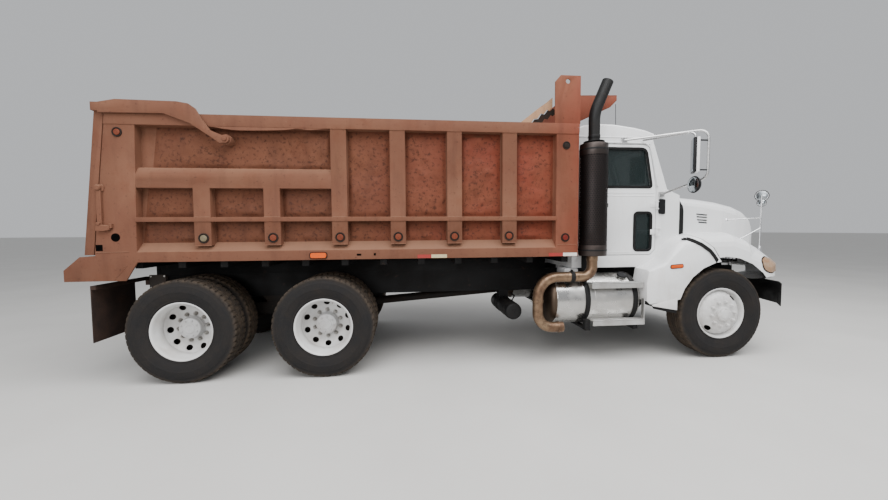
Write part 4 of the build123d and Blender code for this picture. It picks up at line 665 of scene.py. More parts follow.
def tyre(maker, x, middle, lugs, depth):
    """One tyre on the right side: grooved tread, notched shoulders and ribbed sidewalls."""
    half = tyre_profile()
    line = [(r, y) for r, y in half] + [(r, -y) for r, y in half[-2::-1]]
    fractions = (0.0, 0.05, 0.7, 0.75)
    turns = [(k + f) / lugs for k in range(lugs) for f in fractions]
    raised = [i % 4 in (1, 2) for i in range(len(turns))]
    rings = []
    for j, (r, y) in enumerate(line):
        ring = []
        for turn, high in zip(turns, raised):
            skew = 0.25 / lugs * (1 if y > 0 else -1) if abs(y) < SHOULDER_Y and r > 0.5 else 0.0
            a = 2 * math.pi * (turn + skew)
            cut = 0.0
            if not high and r > GROOVED_R:
                cut = depth if abs(y) > CENTRE_RIBS_Y else depth * 0.45
            ring.append(maker.bm.verts.new((x + (r - cut) * math.cos(a), -(middle + y),
                                            AXLE_Z + (r - cut) * math.sin(a))))
        rings.append(ring)
    maker.rings(rings, TYRE, closed=True)


def tread_mark(co):
    """How dusty a tyre's tread is, by the distance from its axle; more so on the inner twins."""
    reach = min(math.hypot(co.x - x, co.z - AXLE_Z) for x in (FRONT_AXLE, MIDDLE_AXLE, REAR_AXLE))
    share = 1.0 if abs(co.y) < BETWEEN_TWINS_Y else OUTER_DUST
    return max(0.0, min(1.0, (reach - DUSTY_R) / 0.03)) * share


def rim(maker, x, middle, look):
    """A rolled rim: flanges, bead seats and drop well."""
    side = [(0.2855, 0.0985), (0.2975, 0.1068), (0.2985, 0.11), (0.297, 0.115), (0.2925, 0.1165),
            (0.286, 0.114), (0.28, 0.106), (0.2745, 0.095), (0.2715, 0.08), (0.264, 0.056), (0.256, 0.04),
            (0.253, 0.0)]
    under = [(0.259, 0.0), (0.262, 0.038), (0.27, 0.056), (0.28, 0.08)]
    loop = side + [(r, -y) for r, y in side[-2::-1]] + [(r, -y) for r, y in under[::-1]] + under[1:]
    maker.lathe(loop, (x, -middle, AXLE_Z), OUT, look, 72, closed=True)


def disc(maker, x, depth, inner, outer, circle, holes, size, look, first):
    """A wheel's disc with hand holes in some of its sectors; depth(r) is its face's Y."""
    half = math.pi / SECTORS
    arc, leg = 8, 4
    for k in range(SECTORS):
        mid = first + 2 * half * k
        edge = [(inner + (outer - inner) * i / leg, mid - half) for i in range(leg)]
        edge += [(outer, mid - half + 2 * half * i / arc) for i in range(arc)]
        edge += [(outer + (inner - outer) * i / leg, mid + half) for i in range(leg)]
        edge += [(inner, mid + half - 2 * half * i / arc) for i in range(arc)]
        flat = [Vector((r * math.cos(a), r * math.sin(a))) for r, a in edge]
        middle = Vector((circle * math.cos(mid), circle * math.sin(mid)))
        out, along = Vector((math.cos(mid), math.sin(mid))), Vector((-math.sin(mid), math.cos(mid)))
        ring = []
        for p in flat:
            way = (p - middle).normalized()
            ring.append(middle + out * way.dot(out) * size[1] + along * way.dot(along) * size[0])
        sheets = []
        for back in (0.0, DISC_T):
            rows = []
            for share in (0.0, 0.5, 1.0):
                row = []
                for p, q in zip(flat, ring):
                    s = p.lerp(q, share)
                    row.append(maker.bm.verts.new((x + s.x, -(depth(s.length) - back), AXLE_Z + s.y)))
                rows.append(row)
            sheets.append(rows)
        front, rear = sheets
        if k in holes:
            maker.rings(front + rear[::-1], look)
        else:
            for rows, back in ((front, 0.0), (rear, DISC_T)):
                spot = (x + middle.x, -(depth(middle.length) - back), AXLE_Z + middle.y)
                maker.rings([[maker.bm.verts.new(spot)]] + rows[::-1], look)
        for i, (r, _) in enumerate(edge):
            j = (i + 1) % len(edge)
            if r == edge[j][0]:
                maker.face((front[0][i], front[0][j], rear[0][j], rear[0][i]), look)


def dish(points):
    """Y of a disc's face by radius, between given points, smoothly."""
    def depth(r):
        for (r0, y0), (r1, y1) in zip(points, points[1:]):
            if r <= r1:
                s = max(0.0, (r - r0) / (r1 - r0))
                s = s * s * (3 - 2 * s)
                return y0 + (y1 - y0) * s
        return points[-1][1]
    return depth


def nuts(maker, x, face, circle, count, radius, height, look, first):
    for k in range(count):
        a = first + 2 * math.pi * k / count
        spot = (x + circle * math.cos(a), -face, AXLE_Z + circle * math.sin(a))
        maker.nut(spot, OUT, radius, height, look)


def rear_pair(place, x, first):
    """Both sides' twin wheels and tyres of one drive axle."""
    for side in ("right", "left"):
        maker = Maker()
        centre = (x, 0, AXLE_Z)
        turn = first + (0.2 if side == "left" else 0.0)
        rim(maker, x, OUTER_MID, WHEEL)
        depth = dish([(0.1, DRIVE_FACE), (0.188, DRIVE_FACE), (0.214, 0.98), (0.246, 1.003),
                      (DISC_EDGE, 1.03)])
        disc(maker, x, depth, 0.105, DISC_EDGE, 0.2235, range(SECTORS), (0.0335, 0.0275), WHEEL, turn)
        maker.lathe([(0, 1.058), (0.03, 1.0585), (0.034, 1.062), (0.052, 1.062), (0.056, 1.0575),
                     (0.094, 1.0555), (0.104, 1.05), (0.108, 1.04), (0.108, 1.008), (0.112, 1.004),
                     (0.112, 0.985), (0.12, 0.978), (0.12, 0.965), (0, 0.965)], centre, OUT, HUB, 48)
        nuts(maker, x, DRIVE_FACE, BOLT_CIRCLE, 10, 0.0185, 0.028, NUT, turn)
        nuts(maker, x, 1.0545, HUB_CIRCLE, 8, 0.0085, 0.01, HUB, turn + 0.3)
        stem = [(x + r * math.cos(turn + 0.9), -y, AXLE_Z + r * math.sin(turn + 0.9)) for r,
                y in ((STEM_CIRCLE, 1.085), (0.25, 1.13))]
        maker.tube(stem, 0.0045, NUT, 8)
        inner = Maker()
        rim(inner, x, INNER_MID, GRIMY)
        inner.lathe([(0.105, 0.95), (0.188, 0.95), (0.246, 0.925), (0.256, 0.87), (0.247, 0.86),
                     (0.24, 0.912), (0.186, 0.938), (0.105, 0.938)], centre, OUT, GRIMY, 48, closed=True)
        inner.lathe([(0, 0.964), (0.118, 0.964), (0.118, 0.86), (0.085, 0.8), (0.085, 0.69), (0, 0.69)],
                    centre, OUT, GRIMY, 32)
        tread = Maker()
        tyre(tread, x, OUTER_MID, *DRIVE_LUGS)
        tyre(tread, x, INNER_MID, *DRIVE_LUGS)
        made = [(maker, f"{place}_rim_{side}", "wheel_white", [f"{place}_wheels_{side}"], None),
                (inner, f"{place}_inner_rim_{side}", "wheel_white", [], None),
                (tread, f"{place}_tread_{side}", "tyre_rubber", [f"{place}_tyres_{side}"], tread_mark)]
        for one, name, slot, replaced, marks in made:
            one.finish(name, f"wheels_{place}_{side}", slot, replaced, left=side == "left", marks=marks)


def front_wheels():
    x, face = FRONT_AXLE, FRONT_MID + RIM_HALF + 0.022
    centre = (x, 0, AXLE_Z)
    for side in ("right", "left"):
        maker = Maker()
        rim(maker, x, FRONT_MID, WHEEL)
        depth = dish([(0.08, face), (0.178, face), (0.2, face - 0.008), (0.243, face - 0.045),
                      (DISC_EDGE, face - 0.085)])
        disc(maker, x, depth, 0.08, DISC_EDGE, 0.228, (2, 7), (0.047, 0.023), WHEEL, -0.42)
        maker.lathe([(0, face + 0.04), (0.04, face + 0.041), (0.052, face + 0.039), (0.058, face + 0.034),
                     (0.07, face + 0.033), (0.08, face + 0.028), (0.084, face + 0.02),
                     (0.084, face + 0.004), (0.094, face + 0.001), (0.094, face - 0.02), (0, face - 0.02)],
                    centre, OUT, WHEEL, 48)
        # A flat grimy ring behind the hand holes: a stand-in for the brake drum, and painted shade where it
        # fills the gap to the rim.
        maker.lathe([(0.11, 1.0), (0.2525, 1.0), (0.2525, 1.008), (0.11, 1.008)], centre, OUT, GRIMY, 48,
                    closed=True)
        maker.lathe([(0, face - 0.02), (0.09, face - 0.02), (0.1, face - 0.09), (0.1, 0.975), (0, 0.975)],
                    centre, OUT, GRIMY, 32)
        nuts(maker, x, face, BOLT_CIRCLE, 10, 0.0185, 0.026, WHEEL, 0.1)
        nuts(maker, x, face + 0.0315, 0.068, 6, 0.0065, 0.008, WHEEL, 0.4)
        tread = Maker()
        tyre(tread, x, FRONT_MID, *STEER_LUGS)
        for one, name, slot, replaced, marks in ((maker, f"front_rim_{side}", "wheel_white",
                                                  [f"front_wheel_{side}"], None),
                                                 (tread, f"front_tread_{side}", "tyre_rubber",
                                                  [f"front_tyre_{side}"], tread_mark)):
            one.finish(name, f"wheel_front_{side}", slot, replaced, left=side == "left", marks=marks)


rear_pair("rear", REAR_AXLE, 0.12)
rear_pair("middle", MIDDLE_AXLE, 0.33)
front_wheels()


# Dump body

SKIN_STEP = 0.014
SMALL_DENTS, LARGE_DENTS = 70, 9    # per square metre
GATE_SLOPE = 0.1199       # of the sides' rear edge
DEEP_WELD, THIN_WELD = 0.0055, 0.004
SEAM_Y, FACE_OUT = -SHEET_Y - 0.004, SIDE_Y - 0.0005
UNDER_FACE = -SIDE_Y + 0.002


def panel_cells():
    """(x0, x1, z0, z1) of the sheet between the ribs, strips and rails."""
    cells = []
    uprights = [COLUMN_REAR] + RIBS
    for ahead, behind in zip(uprights, RIBS):
        x1 = ahead if ahead > RIBS[0] else ahead - RIB_HALF
        cells += [(behind + RIB_HALF, x1, STRIP_TOP, RAIL_FOOT),
                  (behind + RIB_HALF, x1, SLOPE_TOP, STRIP_FOOT)]
    cells.append((GATE_EDGE + 0.03, RIBS[-1] - RIB_HALF, BEAM_TOP, RAIL_FOOT))
    line = [RIBS[-1]] + SHORT_RIBS
    spans = [(b + RIB_HALF, a - RIB_HALF) for a,
             b in zip(line, line[1:])] + [(GATE_EDGE, SHORT_RIBS[-1] - RIB_HALF)]
    for x0, x1 in spans:
        cells += [(x0, x1, STRIP_TOP, BEAM_FOOT), (x0, x1, SLOPE_TOP, STRIP_FOOT)]
    return cells


def dent_field(rng, x0, x1, z0, z1):
    """Round dents pushed out by the load: (x, z, radius, height)."""
    area, draw = (x1 - x0) * (z1 - z0), rng.uniform
    dents = []
    for _ in range(int(area * SMALL_DENTS)):
        radius = draw(0.012, 0.045)
        dents.append((draw(x0, x1), draw(z0, z1), radius, draw(-0.008, 0.012) * radius / 0.03))
    for _ in range(max(1, int(area * LARGE_DENTS))):
        dents.append((draw(x0, x1), draw(z0, z1), draw(0.06, 0.15), draw(0.003, 0.018)))
    return dents


def panel_skins(side):
    """The load-dented sheet between the ribs, a thin skin on the flat one."""
    rng = random.Random(7 if side < 0 else 19)
    maker = Maker()
    for x0, x1, z0, z1 in panel_cells():
        dents = dent_field(rng, x0, x1, z0, z1)
        nx, nz = max(4, int((x1 - x0) / SKIN_STEP)), max(4, int((z1 - z0) / SKIN_STEP))
        follows_gate = x0 < BED_REAR + 0.42
        front, back = [], []
        for j in range(nz + 1):
            z = z0 + (z1 - z0) * j / nz
            row, rear = [], []
            for i in range(nx + 1):
                x = x0 + (x1 - x0) * i / nx
                lean = max(0.0,
                           (z - FACE_TOP) * GATE_SLOPE) * (1 - (x - x0)
                                                           / (x1 - x0)) if follows_gate else 0.0
                edge = min(x - x0, x1 - x, z - z0, z1 - z)
                fade = min(1.0, edge / 0.05)
                fade = fade * fade * (3 - 2 * fade)
                rise = 0.01 + 0.012 * noise.noise(Vector((x * 4.0, z * 4.0, side * 3)))
                rise += 0.005 * noise.noise(Vector((x * 17.0, z * 17.0, side * 5)))
                for dx, dz, radius, height in dents:
                    gap = (x - dx) ** 2 + (z - dz) ** 2
                    if gap < 6 * radius * radius:
                        rise += height * math.exp(-gap / (radius * radius))
                rise = 0.0012 + max(0.0008, rise) * fade
                row.append(maker.bm.verts.new((x + lean, side * (SHEET_Y + rise), z)))
                rear.append(maker.bm.verts.new((x + lean, side * (SHEET_Y - 0.003), z)))
            front.append(row)
            back.append(rear)
        for j in range(nz):
            for i in range(nx):
                maker.face((front[j][i], front[j][i + 1], front[j + 1][i + 1], front[j + 1][i]), SKIN)
        loop = ([(0, i) for i in range(nx)] + [(j, nx) for j in range(nz)]
                + [(nz, i) for i in range(nx, 0, -1)] + [(j, 0) for j in range(nz, 0, -1)])
        for (j, i), (q, p) in zip(loop, loop[1:] + loop[:1]):
            maker.face((front[j][i], front[q][p], back[q][p], back[j][i]), SKIN)
        maker.face([back[j][i] for j, i in loop], SKIN)
        for j in range(1, nz):
            for i in range(1, nx):
                maker.bm.verts.remove(back[j][i])
    word = "right" if side < 0 else "left"
    maker.finish(f"side_skins_{word}", "dump_body", "body_brown", smooth=50)


def round_lamp(maker, x, z, lens, size=1.0):
    """A round clearance lamp in its rubber grommet."""
    ring = [(0, -0.006), (0.049, -0.006), (0.0495, 0.006), (0.047, 0.0095), (0.041, 0.01), (0.0375, 0.007),
            (0.037, 0.003), (0, 0.003)]
    cap = [(0, 0.001), (0.032, 0.001), (0.032, 0.0075), (0.03, 0.0105), (0.0235, 0.012), (0.022, 0.0105),
           (0.0205, 0.012), (0.011, 0.013), (0.0095, 0.0112), (0.008, 0.0112), (0.0065, 0.0135),
           (0, 0.0135)]
    for line, look in ((ring, GROMMET), (cap, lens)):
        maker.lathe([(r * size, h) for r, h in line], (x, -SIDE_Y, z), OUT, look, 36)


def weld(maker, start, end, radius, rng):
    """A rough bead along a seam."""
    start, end = Vector(start), Vector(end)
    count = max(3, int((end - start).length / 0.016))
    path = [start.lerp(end, k / count) for k in range(count + 1)]
    radii = [radius * rng.uniform(0.7, 1.25) for _ in path]
    maker.tube(path, radius, BODY, 6, radii=radii)


def wavy_lip():
    """The top rail's lower edge behind the full ribs, bent down by hard use."""
    points = [(-2.7, 2.534), (-2.606, 2.531), (-2.515, 2.524), (-2.452, 2.511), (-2.36, 2.5),
              (-2.28, 2.497), (-2.194, 2.498), (-2.1, 2.5), (-2.007, 2.503), (-1.93, 2.507),
              (-1.865, 2.511), (-1.81, 2.519), (-1.76, 2.528), (-1.715, 2.524), (-1.665, 2.517),
              (-1.62, 2.516), (-1.579, 2.52), (-1.5, 2.528), (-1.437, 2.534)]
    outline = [(x, -1.2225 - 0.006 * (2.535 - z) / 0.038, z) for x, z in points]
    return outline + [(-1.437, -1.2225, 2.552), (-2.7, -1.2225, 2.552)]


def bed_side_details(side):
    """Lamps, tapes, latch, holes drawn as painted shade, welds and the bent lip of one side."""
    rng = random.Random(31 if side < 0 else 47)
    word = "right" if side < 0 else "left"
    body = Maker()
    body.prism(wavy_lip(), (0, 0.005, 0), BODY)
    hook = [(-3.612, 1.915), (-3.535, 1.905), (-3.53, 1.95), (-3.548, 1.972), (-3.6, 1.97)]
    lever = [(-3.59, 1.96), (-3.552, 1.955), (-3.556, 1.56), (-3.598, 1.56)]
    seat = [(-3.606, 1.53), (-3.606, 1.58), (-3.575, 1.592), (-3.488, 1.578), (-3.486, 1.54),
            (-3.54, 1.528)]
    for outline, y, thick in ((hook, -1.2185, 0.014), (lever, -1.219, 0.024), (seat, -1.219, 0.034)):
        body.prism(at(outline, y), (0, -thick, 0), BODY)
    body.box(-3.495, -3.47, -1.246, -1.218, 1.555, 1.6, BODY)
    body.bevel(0.003, 1)
    body.lathe([(0, -0.005), (0.026, -0.005), (0.026, 0.03), (0.02, 0.036), (0, 0.036)],
               (-3.572, -1.222, 1.938), OUT, BODY, 20)
    body.lathe([(0, -0.005), (0.016, -0.005), (0.016, 0.038), (0, 0.04)], (-3.578, -1.222, 1.6), OUT, BODY,
               16)
    beads = []
    for x in RIBS + SHORT_RIBS:
        top = RAIL_FOOT if x in RIBS else BEAM_FOOT
        x0, x1 = x - RIB_HALF, x + RIB_HALF
        for edge in (x0, x1):
            beads += [(edge, SLOPE_TOP + 0.01, edge, STRIP_FOOT, SEAM_Y, DEEP_WELD),
                      (edge, STRIP_TOP, edge, top, SEAM_Y, DEEP_WELD)]
        beads.append((x0, SLOPE_TOP - 0.03, x1, SLOPE_TOP - 0.03, -FACE_OUT, THIN_WELD))
        for z in (STRIP_TOP, STRIP_FOOT, top) if x in RIBS else (STRIP_TOP, STRIP_FOOT):
            beads.append((x0, z, x1, z, -FACE_OUT - 0.003, THIN_WELD))
    beads += [(BED_REAR + 0.01, FACE_TOP, BED_REAR + 0.3, FACE_TOP + 0.004, -FACE_OUT, THIN_WELD),
              (-3.485, 1.06, -3.365, 1.195, -FACE_OUT, 0.005),
              (BED_FRONT - 0.235, FACE_TOP + 0.03, BED_FRONT - 0.01, FACE_TOP + 0.03, -FACE_OUT, THIN_WELD),
              (COLUMN_REAR, SLOPE_TOP, COLUMN_REAR, RAIL_FOOT, SEAM_Y, DEEP_WELD),
              (-3.255, BEAM_TOP + 0.002, RIBS[-1] - RIB_HALF, BEAM_TOP + 0.002, SEAM_Y, 0.006)]
    for x0, z0, x1, z1, y, radius in beads:
        weld(body, (x0, y, z0), (x1, y, z1), radius, rng)

    lamps = Maker()
    for x in RIBS + SHORT_RIBS:
        round_lamp(lamps, x - 0.004 * (x + 1), 1.452, CLEAR if x == SHORT_RIBS[-1] else ORANGE)
    for x, z, lens, size in ((1.025, 2.413, GROMMET, 0.85), (1.022, 1.43, RED, 0.95),
                             (-3.394, 2.462, ORANGE, 0.9)):
        round_lamp(lamps, x, z, lens, size)
    oval = rounded([(-1.665, 1.236), (-1.489, 1.236), (-1.489, 1.304), (-1.665, 1.304)], 0.034, 6)
    lamps.prism(at(oval, UNDER_FACE), (0, -0.01, 0), GROMMET)
    lamps.prism(at(grown(oval, -0.007), UNDER_FACE), (0, -0.022, 0), AMBER, shrink=0.06)
    for x0, x1, look in ((-0.576, -0.431, TAPE_RED), (-0.431, -0.268, TAPE_PALE), (0.841, 0.999, TAPE_RED),
                         (1.001, 1.158, TAPE_WHITE)):
        lamps.box(x0, x1, -SIDE_Y - 0.0015, UNDER_FACE, 1.2285, 1.264, look)
    # Near-black patches on the sheet for its holes: painted shade.
    for x0, x1, z0, z1 in ((-1.196, -1.152, 1.262, 1.282), (-1.024, -1.004, 1.262, 1.286)):
        lamps.box(x0, x1, -SIDE_Y - 0.0012, UNDER_FACE, z0, z1, HOLE_SHADE)
    lamps.lathe([(0, -0.002), (0.04, -0.002), (0.04, 0.0015), (0.036, 0.0025), (0, 0.0012)],
                (-3.456, -SIDE_Y, 1.467), OUT, HOLE_SHADE, 28)
    lamps.box(-3.634, -3.574, -SIDE_Y - 0.0012, UNDER_FACE, 1.338, 1.398, HOLE_SHADE)
    for one, name, slot in ((body, "side_fittings", "body_brown"), (lamps, "side_lamps", "lamp_plastic")):
        one.finish(f"{name}_{word}", "dump_body", slot, left=side > 0)


def front_wall_details():
    """Weld beads of the headboard, and the roof bows under the canopy."""
    rng = random.Random(5)
    maker = Maker()
    for z in (1.7, 2.15):
        weld(maker, (BED_FRONT + 0.002, -1.1, z), (BED_FRONT + 0.002, 1.1, z), 0.005, rng)
    for y in (-0.6, -0.2, 0.2, 0.6):
        maker.prism([(BED_FRONT + 0.004, y - 0.018, 3.036), (BED_FRONT + 0.565, y - 0.018, 3.045),
                     (BED_FRONT + 0.565, y - 0.018, 3.018), (BED_FRONT + 0.004, y - 0.018, 2.985)],
                    (0, 0.036, 0), BODY)
    maker.finish("headboard_welds", "dump_body", "body_brown")


def canopy_brace():
    """The torn tan strip between the right column and the top rail, with a dark sheet below it as its
    painted shadow.
    """
    maker = Maker()
    upper = [(0.54, 2.664), (0.64, 2.742), (0.76, 2.836), (0.84, 2.892), (0.91, 2.95)]
    lower = [(0.91, 2.842), (0.872, 2.806), (0.85, 2.82), (0.812, 2.77), (0.78, 2.778), (0.742, 2.722),
             (0.7, 2.716), (0.664, 2.664)]
    maker.prism(at(upper + lower, -1.112), (0, 0.006, 0), TAN)
    # A dark sheet in grommet rubber below the strip's torn edge: its painted cast shadow.
    shadow = [(x + 0.012, z - 0.004) for x, z in lower] + [(x + 0.048, z - 0.052) for x, z in lower[::-1]]
    maker.prism(at(shadow, -1.104), (0, 0.01, 0), GROMMET)
    maker.finish("canopy_brace", "dump_body", "body_brown")


def tail_details():
    """The plate on its arm behind the rear wheel, and the tail lamps at the frame's end."""
    maker = Maker()
    maker.tube(bent([(-3.24, -0.432, 0.96), (-3.24, -0.7, 0.96), (-3.24, -0.99, 1.0)], [0.2], 10), 0.019,
               GRIMY, 12)
    maker.box(-3.315, -3.155, -1.004, -0.996, 0.93, 1.078, GRIMY)
    maker.bevel(0.002, 1, near=lambda co: co.y < -0.99)
    for x, z in ((-3.3, 0.945), (-3.17, 0.945), (-3.3, 1.063), (-3.17, 1.063)):
        maker.nut((x, -1.004, z), OUT, 0.008, 0.006, NUT, stub=False)
    maker.finish("rear_plate", "chassis", "black_steel")
    lamps = Maker()
    for y in (-0.335, 0.335):
        lamps.box(-3.648, -3.6355, y - 0.085, y + 0.085, 0.8, 0.93, GRIMY)
        for dy in (-0.04, 0.04):
            lamps.lathe([(0, 0), (0.038, 0), (0.038, 0.008), (0.03, 0.013), (0, 0.015)],
                        (-3.648, y + dy, 0.865), (-1, 0, 0), RED, 24)
    lamps.finish("tail_lamps", "chassis", "lamp_plastic")


for name, width in (("bed_side_right", 0.007), ("bed_side_left", 0.007)):
    soften(name, width, 3)
for name, width in (("bed_front", 0.003), ("tailgate", 0.005), ("bed_floor", 0.004),
                    ("bed_underframe", 0.006)):
    soften(name, width)
for side in (-1, 1):
    panel_skins(side)
    bed_side_details(side)
front_wall_details()
canopy_brace()
tail_details()


# Tanks, steps and exhaust

TEETH = 30                # in a row of a step's tread
HOLE_PITCH = 0.0262       # of the muffler's guard
DROP_X, RUN_Z, LOW_Z = 0.766, 0.984, 0.418     # of the exhaust pipe's run to the rear and down


def clamp(inner, outer, start, end, ease):
    """(radius, distance) of a flat band with eased outer edges."""
    return [(inner, start), (outer - 0.001, start), (outer, start + ease), (outer, end - ease),
            (outer - 0.001, end), (inner, end)]


def drum_profile(radius, start, end, seams):
    """(radius, distance along the axis) of a drum with domed ends and raised weld seams."""
    cap = [(0.0, 0.0), (0.62, 0.001), (0.84, 0.005), (0.925, 0.012), (0.97, 0.022), (0.993, 0.036),
           (1.0, 0.052)]
    line = [(radius * r, start + h) for r, h in cap]
    for x in seams:
        line += [(radius, x - 0.006), (radius + 0.0022, x - 0.003), (radius + 0.0022, x + 0.003),
                 (radius, x + 0.006)]
    return line + [(radius * r, end - h) for r, h in reversed(cap)]


def tanks():
    maker = Maker()
    deep = [(0.0, 0.0), (0.45, 0.004), (0.66, 0.014), (0.8, 0.028), (0.9, 0.046), (0.96, 0.066),
            (0.99, 0.086)]
    seams = [TANK_REAR + 0.112, TANK_REAR + 0.56, TANK_FRONT - 0.06]
    drum = drum_profile(TANK_R, TANK_REAR, TANK_FRONT, seams)[7:]
    maker.lathe([(TANK_R * r, TANK_REAR + h) for r, h in deep] + drum, (0, -TANK_Y, TANK_Z), AHEAD, TANK,
                72)
    # The rear dome's faces take the dark copy: painted shade on the tank's end.
    maker.looks.append(DOME_SHADE)
    for face in maker.bm.faces:
        if face.calc_center_median().x < TANK_REAR + 0.104:
            face.material_index = 1
    way = Vector((0, -0.469, 0.883))
    foot = Vector((1.83, -TANK_Y, TANK_Z)) + way * 0.28
    maker.lathe([(0, 0), (0.062, 0), (0.062, 0.012), (0.046, 0.016), (0.046, 0.028), (0, 0.028)], foot, way,
                TANK, 28)
    maker.lathe([(0, 0.026), (0.052, 0.026), (0.056, 0.03), (0.056, 0.042), (0.05, 0.048), (0, 0.05)], foot,
                way, TRIM, 20)
    maker.finish("tank_drums", "chassis", "bare_aluminium", ["fuel_tanks"], both=True)

    steel = Maker()
    out = TANK_Y + (0.298 ** 2 - 0.195 ** 2) ** 0.5
    for x0 in (TANK_REAR + 0.434, TANK_REAR + 1.005):
        x1 = x0 + 0.06
        steel.lathe([(0.2908, x0), (0.2975, x0 + 0.001), (0.2985, x0 + 0.004), (0.2985, x1 - 0.004),
                     (0.2975, x1 - 0.001), (0.2908, x1)], (0, -TANK_Y, TANK_Z), AHEAD, BLACK, 64,
                    closed=True)
        steel.box(x0, x1, -0.452, -RAIL_Y, 0.37, 0.893, BLACK)
        steel.box(x0, x1, -1.07, -0.4335, 0.37, 0.401, BLACK)
        steel.box(x0, x1, -1.12, -1.052, 0.368, 0.488, BLACK)
        steel.box(x0, x1, -1.066, -out + 0.004, 0.894, 0.9025, BLACK)
        steel.lathe([(0, 0), (0.009, 0), (0.009, 0.052), (0, 0.052)], (x0 + 0.03, -1.03, 0.405), (0, 0, -1),
                    NUT, 10)
    steel.bevel(0.003, 1)
    steel.finish("tank_straps", "chassis", "black_steel", ["tank_steps"], both=True)

    tread = Maker()
    x0, x1 = 1.372, 1.986
    for y_in, y_out, top in ((1.056, 1.16, 0.912), (1.086, 1.19, 0.497)):
        tread.box(x0, x1, -y_out, -y_in, top - 0.009, top, STEP)
        tread.box(x0, x1, -y_out, -y_out + 0.006, top - 0.061, top - 0.004, STEP)
        tread.box(x0, x1, -y_in - 0.006, -y_in, top - 0.03, top - 0.004, STEP)
        for k in range(TEETH):
            x = x0 + 0.016 + (x1 - x0 - 0.032) * k / (TEETH - 1)
            shift = 0.008 if k % 2 else 0.0
            for y in (y_in + 0.012 + shift, y_in + 0.04 + shift, y_in + 0.068 + shift):
                tread.box(x - 0.0045, x + 0.0045, -y - 0.016, -y, top - 0.001, top + 0.003, STEP)
    tread.box(1.974, 1.984, -1.188, -1.138, 0.436, 0.73, STEP)
    tread.bevel(0.001, 1)
    tread.finish("step_treads", "chassis", "bare_aluminium", both=True)

    air = Maker()
    x, _, z = AIR_TANK
    inward = (0, 1, 0)
    air.lathe(drum_profile(0.1, 0.0, 0.78, [0.075, 0.24, 0.54, 0.705]), AIR_TANK, inward, BLACK, 48)
    air.lathe([(0, -0.006), (0.016, -0.006), (0.016, 0.002), (0, 0.004)], AIR_TANK, inward, BLACK, 6)
    for y in (-0.43, -0.32):
        air.box(x - 0.058, x + 0.058, y, y + 0.008, z, 0.7395, BLACK)
        air.lathe([(0.1005, y - 0.012), (0.1045, y - 0.012), (0.1045, y + 0.02), (0.1005, y + 0.02)],
                  (x, 0, z), inward, BLACK, 40, closed=True)
    air.tube(bent([(0.6, -0.64, 0.64), (0.64, -0.64, 0.7), (0.64, -0.434, 0.7)], [0.03]), 0.008, BLACK, 8)
    air.finish("air_drum", "chassis", "black_steel", ["air_tank"])


def guard_sheet(maker, radius, z0, z1, half_turn):
    """The perforated guard round the muffler's outer side."""
    columns = int(2 * half_turn * radius / HOLE_PITCH)
    rows = int((z1 - z0) / (HOLE_PITCH * 0.866))
    turn, rise = 2 * half_turn / columns, (z1 - z0) / rows
    sheet = Maker()

    def spot(a, z):
        angle = -math.pi / 2 - half_turn + a * turn
        place = (STACK_X + radius * math.cos(angle), STACK_Y + radius * math.sin(angle), z0 + z * rise)
        return sheet.bm.verts.new(place)

    square = [(-0.5, -0.5), (0, -0.5), (0.5, -0.5), (0.5, 0), (0.5, 0.5), (0, 0.5), (-0.5, 0.5), (-0.5, 0)]
    eighths = [math.radians(225 + 45 * k) for k in range(8)]
    hole = [(0.33 * math.cos(a), 0.38 * math.sin(a)) for a in eighths]
    half_cell = [(0, 0), (0.5, 0), (0.5, 0.5), (0.5, 1), (0, 1), (0, 0.5)]
    for row in range(rows):
        shift = 0.5 if row % 2 else 0.0
        for column in range(columns - (1 if shift else 0)):
            a, z = column + 0.5 + shift, row + 0.5
            outer = [spot(a + u, z + v) for u, v in square]
            inner = [spot(a + u, z + v) for u, v in hole]
            for k in range(8):
                n = (k + 1) % 8
                sheet.face((outer[k], outer[n], inner[n], inner[k]), MUFFLER)
        if shift:
            for a in (0.0, columns - 0.5):
                sheet.face([spot(a + u, row + v) for u, v in half_cell], MUFFLER)
    bmesh.ops.remove_doubles(sheet.bm, verts=sheet.bm.verts, dist=1e-5)
    bmesh.ops.solidify(sheet.bm, geom=sheet.bm.faces[:], thickness=0.0018)
    maker.add(sheet, Matrix())


